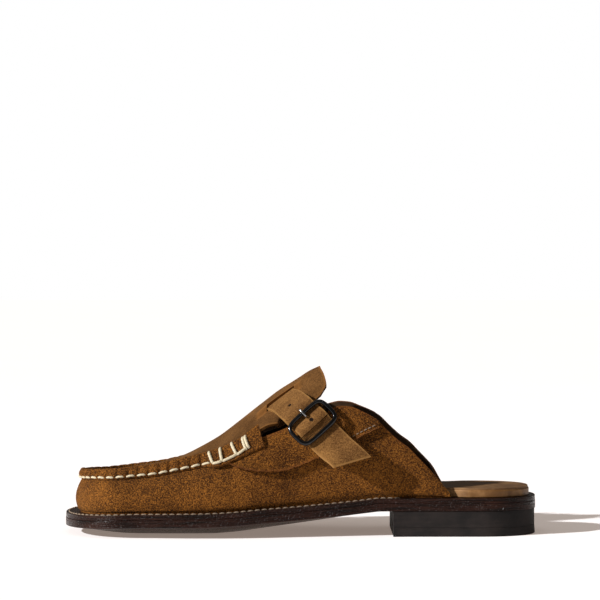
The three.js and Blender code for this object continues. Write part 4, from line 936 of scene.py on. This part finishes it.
class Tree:
    """Adds nodes to a tree by type, with inputs given by name as values or as sockets to link."""

    def __init__(self, tree):
        self.tree = tree

    def add(self, kind, props=None, **inputs):
        node = self.tree.nodes.new("ShaderNode" + kind)
        for k, v in (props or {}).items():
            setattr(node, k, v)
        for k, v in inputs.items():
            numbered = k[0] == "_" and k[1:].isdigit()
            socket = node.inputs[int(k[1:]) if numbered else k.replace("_", " ")]
            if isinstance(v, bpy.types.NodeSocket):
                self.tree.links.new(v, socket)
            else:
                socket.default_value = v
        return node

    def math(self, op, a, b=0.0):
        return self.add("Math", {"operation": op}, _0=a, _1=b).outputs[0]

    def blend(self, t, a, b, mode="MIX"):
        n = self.add("Mix", {"data_type": "RGBA", "blend_type": mode})
        for s, v in ((n.inputs[0], t), (n.inputs[6], a), (n.inputs[7], b)):
            if isinstance(v, bpy.types.NodeSocket):
                self.tree.links.new(v, s)
            else:
                s.default_value = v
        return n.outputs[2]

    def noise(self, vector, scale, detail=3.0, rough=0.6):
        return self.add("TexNoise", None, Vector=vector, Scale=scale, Detail=detail,
                        Roughness=rough).outputs[0]

    def spread(self, value, low, high):
        return self.add("MapRange", {"clamp": True, "interpolation_type": "SMOOTHSTEP"}, Value=value,
                        From_Min=low, From_Max=high).outputs[0]


def group(name, inputs, outputs):
    """A shader node group with named sockets; returns it with its tree helper and its two ends."""
    g = bpy.data.node_groups.new(name, "ShaderNodeTree")
    for n, kind, value in inputs:
        s = g.interface.new_socket(n, in_out="INPUT", socket_type="NodeSocket" + kind)
        if value is not None:
            s.default_value = value
    for n, kind in outputs:
        g.interface.new_socket(n, in_out="OUTPUT", socket_type="NodeSocket" + kind)
    t = Tree(g)
    return g, t, t.add, g.nodes.new("NodeGroupInput"), g.nodes.new("NodeGroupOutput")


# %% Nap of suede
nap, t, add, gin, gout = group(
    "suede nap", [("Vector", "Vector", None), ("Rim", "Float", 0.0), ("Shade", "Color", None),
                  ("Light", "Color", None), ("Edge", "Color", None), ("Grain", "Float", 1.0)],
    [("Color", "Color"), ("Height", "Float"), ("Roughness", "Float")])
fleck = t.noise(gin.outputs["Vector"], 2300.0, 3.0, 0.65)
clump = t.noise(gin.outputs["Vector"], 1400.0, 3.0, 0.6)
cloud = t.noise(gin.outputs["Vector"], 70.0, 3.0, 0.55)
patch = t.noise(gin.outputs["Vector"], 26.0, 2.0, 0.5)
swing = lambda value, amount: t.math("MULTIPLY", t.math("SUBTRACT", value, 0.5), amount)
mott = t.math("MULTIPLY", t.math("ADD", swing(clump, 1.5), swing(fleck, 1.25)), gin.outputs["Grain"])
soft = t.math("ADD", swing(cloud, 0.75), swing(patch, 0.45))
level_of = t.spread(t.math("ADD", t.math("ADD", mott, soft), 0.5), 0.1, 1.2)
tone = t.blend(level_of, gin.outputs["Shade"], gin.outputs["Light"])
rimmed = t.blend(t.math("MULTIPLY", gin.outputs["Rim"], 0.75), tone, gin.outputs["Edge"])
nap.links.new(rimmed, gout.inputs["Color"])
height = t.math("ADD", t.math("MULTIPLY", mott, 0.6), t.math("MULTIPLY", cloud, 0.5))
nap.links.new(height, gout.inputs["Height"])
nap.links.new(t.math("SUBTRACT", 1.0, t.math("MULTIPLY", level_of, 0.12)), gout.inputs["Roughness"])

# %% Grain of smooth leather
grain, t, add, gin, gout = group(
    "leather grain", [("Vector", "Vector", None), ("Scale", "Float", 600.0), ("Dark", "Color", None),
                      ("Pale", "Color", None), ("Streak", "Float", 0.0), ("Lay", "Vector", None)],
    [("Color", "Color"), ("Height", "Float"), ("Wear", "Float")])
cells = add("TexVoronoi", {"feature": "DISTANCE_TO_EDGE"}, Vector=gin.outputs["Vector"],
            Scale=gin.outputs["Scale"]).outputs[0]
pores = t.spread(cells, 0.0, 0.12)
stretch = add("Mapping", None, Vector=gin.outputs["Lay"], Scale=(0.035, 0.5, 2.6)).outputs[0]
lines = t.noise(stretch, 1.0, 4.0, 0.65)
blots = t.noise(gin.outputs["Vector"], 90.0, 4.0, 0.6)
wear = t.spread(t.math("ADD", t.math("MULTIPLY", lines, gin.outputs["Streak"]),
                       t.math("MULTIPLY", blots, t.math("SUBTRACT", 1.0, gin.outputs["Streak"]))), 0.36, 0.68)
grain.links.new(t.blend(wear, gin.outputs["Dark"], gin.outputs["Pale"]), gout.inputs["Color"])
height = t.math("ADD", t.math("MULTIPLY", pores, 0.35), t.math("MULTIPLY", lines, gin.outputs["Streak"]))
grain.links.new(height, gout.inputs["Height"])
grain.links.new(wear, gout.inputs["Wear"])


# %% The materials themselves
def new_material(name):
    mat = bpy.data.materials.new(name)
    mat.use_nodes = True
    mat.node_tree.nodes.clear()
    t = Tree(mat.node_tree)
    out = t.add("OutputMaterial")
    shader = t.add("BsdfPrincipled")
    t.tree.links.new(shader.outputs[0], out.inputs[0])
    where = t.add("TexCoord").outputs["Object"]
    return mat, t, shader, where


def attribute(t, name):
    n = t.add("Attribute", {"attribute_name": name, "attribute_type": "GEOMETRY"})
    return n.outputs["Vector"] if name == "lay" else n.outputs["Fac"]


def placed(t, g, **inputs):
    """The node group g placed in a material, with its inputs given by name."""
    n = t.tree.nodes.new("ShaderNodeGroup")
    n.node_tree = g
    for k, v in inputs.items():
        s = n.inputs[k]
        if isinstance(v, bpy.types.NodeSocket):
            t.tree.links.new(v, s)
        else:
            s.default_value = v
    return n


def bump(t, height, strength, distance):
    return t.add("Bump", None, Height=height, Strength=strength, Distance=distance).outputs[0]


def suede_material(name, shade, light, edge, grain_amount, depth, holes=()):
    mat, t, shader, where = new_material(name)
    n = placed(t, nap, Vector=where, Rim=attribute(t, "rim"), Shade=rgb(shade), Light=rgb(light),
               Edge=rgb(edge), Grain=grain_amount)
    colour, height = n.outputs["Color"], n.outputs["Height"]
    # Each strap hole is a dip in the bump and a near-black disc in the colour (120a05): the dark disc is
    # painted shade, standing in for the shadowed inside of the hole.
    for s, w in holes:
        lay = attribute(t, "lay")
        away = t.add("VectorMath", {"operation": "DISTANCE"}, _0=lay, _1=(s, w, 0.0)).outputs["Value"]
        hole = t.spread(away, 1.3, 0.85)
        colour = t.blend(hole, colour, rgb("120a05"))
        height = t.math("SUBTRACT", height, t.math("MULTIPLY", hole, 4.0))
    t.tree.links.new(colour, shader.inputs["Base Color"])
    t.tree.links.new(n.outputs["Roughness"], shader.inputs["Roughness"])
    t.tree.links.new(bump(t, height, 0.7, depth), shader.inputs["Normal"])
    shader.inputs["Specular IOR Level"].default_value = 0.12
    shader.inputs["Sheen Weight"].default_value = 0.12
    shader.inputs["Sheen Roughness"].default_value = 0.4
    shader.inputs["Sheen Tint"].default_value = rgb("c08a50")
    return mat


def leather_material(name, dark, pale, streak, rough, wear_rough, scale=600.0, depth=0.00015,
                     strength=0.5, spec=0.4):
    mat, t, shader, where = new_material(name)
    n = placed(t, grain, Vector=where, Scale=scale, Dark=rgb(dark), Pale=rgb(pale), Streak=streak,
               Lay=attribute(t, "lay"))
    t.tree.links.new(n.outputs["Color"], shader.inputs["Base Color"])
    worn = t.math("ADD", rough, t.math("MULTIPLY", n.outputs["Wear"], wear_rough))
    t.tree.links.new(worn, shader.inputs["Roughness"])
    t.tree.links.new(bump(t, n.outputs["Height"], strength, depth), shader.inputs["Normal"])
    shader.inputs["Specular IOR Level"].default_value = spec
    return mat


def thread_material(name, dark, pale):
    mat, t, shader, where = new_material(name)
    lay = t.add("Mapping", None, Vector=attribute(t, "lay"), Scale=(2.0, 10.0, 3.0)).outputs[0]
    fibre = t.noise(lay, 1.6, 3.0, 0.7)
    t.tree.links.new(t.blend(t.spread(fibre, 0.3, 0.62), rgb(dark), rgb(pale)), shader.inputs["Base Color"])
    t.tree.links.new(t.math("ADD", 0.7, t.math("MULTIPLY", fibre, 0.2)), shader.inputs["Roughness"])
    t.tree.links.new(bump(t, fibre, 0.5, 0.0002), shader.inputs["Normal"])
    shader.inputs["Specular IOR Level"].default_value = 0.25
    return mat


def metal_material(name, dark, pale, rough, depth=0.00004, coat=0.0):
    mat, t, shader, where = new_material(name)
    cloud = t.noise(where, 320.0, 4.0, 0.6)
    fine = t.noise(where, 2600.0, 2.0, 0.6)
    t.tree.links.new(t.blend(t.spread(cloud, 0.35, 0.65), rgb(dark), rgb(pale)), shader.inputs["Base Color"])
    t.tree.links.new(t.math("ADD", rough, t.math("MULTIPLY", cloud, 0.16)), shader.inputs["Roughness"])
    t.tree.links.new(bump(t, fine, 0.3, depth), shader.inputs["Normal"])
    shader.inputs["Metallic"].default_value = 1.0
    shader.inputs["Coat Weight"].default_value = coat
    shader.inputs["Coat Roughness"].default_value = 0.12
    return mat


finish = {
    "suede": suede_material("Snuff suede, coarse nap", "321b08", "925c21", "6a3c1a", 2.0, 0.0006),
    "smooth": suede_material("Snuff suede, fine nap", "412912", "7c562d", "7c5228", 0.85, 0.0003),
    "strap": suede_material("Snuff suede strap", "492e15", "956b3a", "946d3c", 0.95, 0.0003,
                            holes=((-23.6, -1.0), (-1.0, 1.0))),
    "sole": leather_material("Stained sole leather", "0c0503", "2e160d", 0.85, 0.18, 0.24, depth=0.0006,
                             strength=0.9, spec=0.14),
    "heel": leather_material("Heel rubber", "0f0c0b", "231d1b", 0.35, 0.62, 0.15, scale=1500.0, spec=0.2),
    "dark": leather_material("Dark lining leather", "28180c", "44301c", 0.0, 0.6, 0.2, spec=0.2),
    "sock": leather_material("Brown sock leather", "5e4229", "80603f", 0.0, 0.55, 0.15, spec=0.2),
    "tan": leather_material("Tan rand leather", "66441f", "906a40", 0.0, 0.45, 0.15, spec=0.3),
    "cork": leather_material("Cork filler", "6d4c2a", "b98f5f", 0.0, 0.85, 0.1, scale=420.0, depth=0.0006,
                             spec=0.2),
    "board": leather_material("Fibre board", "8a6a45", "b08e64", 0.0, 0.85, 0.1, scale=900.0, spec=0.2),
    "foam": leather_material("Footbed foam", "b8a57a", "dccca2", 0.0, 0.9, 0.06, scale=1800.0, depth=0.0004,
                             spec=0.2),
    "cream": thread_material("Waxed cream thread", "8f8162", "d3c8ac"),
    "thread": thread_material("Tonal machine thread", "4c3c30", "9c8a76"),
    "gunmetal": metal_material("Gunmetal", "0b0c0e", "1b1d21", 0.22, coat=0.7),
    "bright": metal_material("Bright nickel", "77797c", "b4b4b2", 0.18),
    "steel": metal_material("Rolled steel", "6b6f74", "94979b", 0.35),
}
chosen = {
    "suede": [wrap, ridge, "quarter_panel_outer", "quarter_panel_inner", "buckle_chape"],
    "smooth": [apron], "strap": [strap], "sole": [outsole, welt], "heel": [stack, top_piece],
    "dark": [lining, under], "sock": [sock], "tan": [rand], "cork": ["bottom_filler"],
    "board": ["insole_board"],
    "foam": ["footbed_foam"], "cream": [toe_stitches, "tie_off_stitches_outer", "tie_off_stitches_inner"],
    "thread": [welt_stitches, "quarter_stitches_outer", "quarter_stitches_inner"],
    "gunmetal": [buckle, centre_bar], "bright": [prong],
    "steel": ["shank"] + ["heel_nail_%d" % (i + 1) for i in range(5)],
}
for key, pieces in chosen.items():
    for piece in pieces:
        obj = bpy.data.objects[piece] if isinstance(piece, str) else piece
        obj.data.materials.clear()
        obj.data.materials.append(finish[key])
print("finishes", len(finish))

# %% [markdown]
# ## Floor, light and camera
# A low warm key from the toe side gives the suede its relief and throws the shadow to the heel side;
# a pale surround fills the shadows a little. The camera stands well back, so the outline stays true.

# %% Stage
floor_mesh = bpy.data.meshes.new("floor")
floor_mesh.from_pydata([(-6, -3, 0), (6, -3, 0), (6, 12, 0), (-6, 12, 0)], [], [(0, 1, 2, 3)])
floor = bpy.data.objects.new("floor", floor_mesh)
bpy.context.scene.collection.objects.link(floor)
mat, t, shader, where = new_material("Pale studio floor")
t.tree.links.new(t.blend(t.noise(where, 3.0, 2.0), rgb("f4f5f7"), rgb("f9f9fb")), shader.inputs["Base Color"])
shader.inputs["Roughness"].default_value = 0.95
shader.inputs["Specular IOR Level"].default_value = 0.0
shader.inputs["Emission Color"].default_value = (1.0, 0.8, 0.68, 1.0)
shader.inputs["Emission Strength"].default_value = 0.25
floor_mesh.materials.append(mat)

world = bpy.data.worlds.new("studio")
world.use_nodes = True
bpy.context.scene.world = world
w = Tree(world.node_tree)
world.node_tree.nodes.clear()
seen = w.add("Background", None, Color=(1, 1, 1, 1), Strength=1.0)
fill = w.add("Background", None, Color=(1.0, 0.93, 0.86, 1), Strength=0.14)
which = w.add("MixShader")
w.tree.links.new(w.add("LightPath").outputs["Is Camera Ray"], which.inputs[0])
w.tree.links.new(fill.outputs[0], which.inputs[1])
w.tree.links.new(seen.outputs[0], which.inputs[2])
w.tree.links.new(which.outputs[0], w.add("OutputWorld").inputs[0])


def area_light(name, travel, distance, size, power, colour, aim=(0, 0, 0.04)):
    """A square lamp that shines along travel at the aim point."""
    light = bpy.data.lights.new(name, "AREA")
    light.size, light.energy, light.color = size, power, colour
    obj = bpy.data.objects.new(name, light)
    d = Vector(travel).normalized()
    obj.location = Vector(aim) - d * distance
    obj.rotation_euler = d.to_track_quat("-Z", "Y").to_euler()
    bpy.context.scene.collection.objects.link(obj)
    return obj


sun = bpy.data.lights.new("key", "SUN")
sun.energy, sun.angle, sun.color = 5.6, math.radians(2.0), (1.0, 0.985, 0.98)
key = bpy.data.objects.new("key", sun)
key.rotation_euler = Vector((0.79, 0.44, -0.42)).to_track_quat("-Z", "Y").to_euler()
bpy.context.scene.collection.objects.link(key)
area_light("overhead", (0.1, 0.25, -1.0), 2.2, 1.6, 3.0, (1.0, 0.98, 0.96))

# %% Camera
camera = bpy.data.cameras.new("camera")
camera.lens, camera.sensor_width, camera.shift_x = 2605 * 36 / 600, 36.0, -0.5 / 600
camera.clip_start, camera.clip_end = 0.05, 60.0
eye = bpy.data.objects.new("camera", camera)
eye.location = (0.0, -1.5, 0.15)
eye.rotation_euler = (math.radians(90 - 0.64), 0.0, 0.0)
bpy.context.scene.collection.objects.link(eye)
bpy.context.scene.camera = eye
bpy.context.scene.view_settings.view_transform = "Standard"
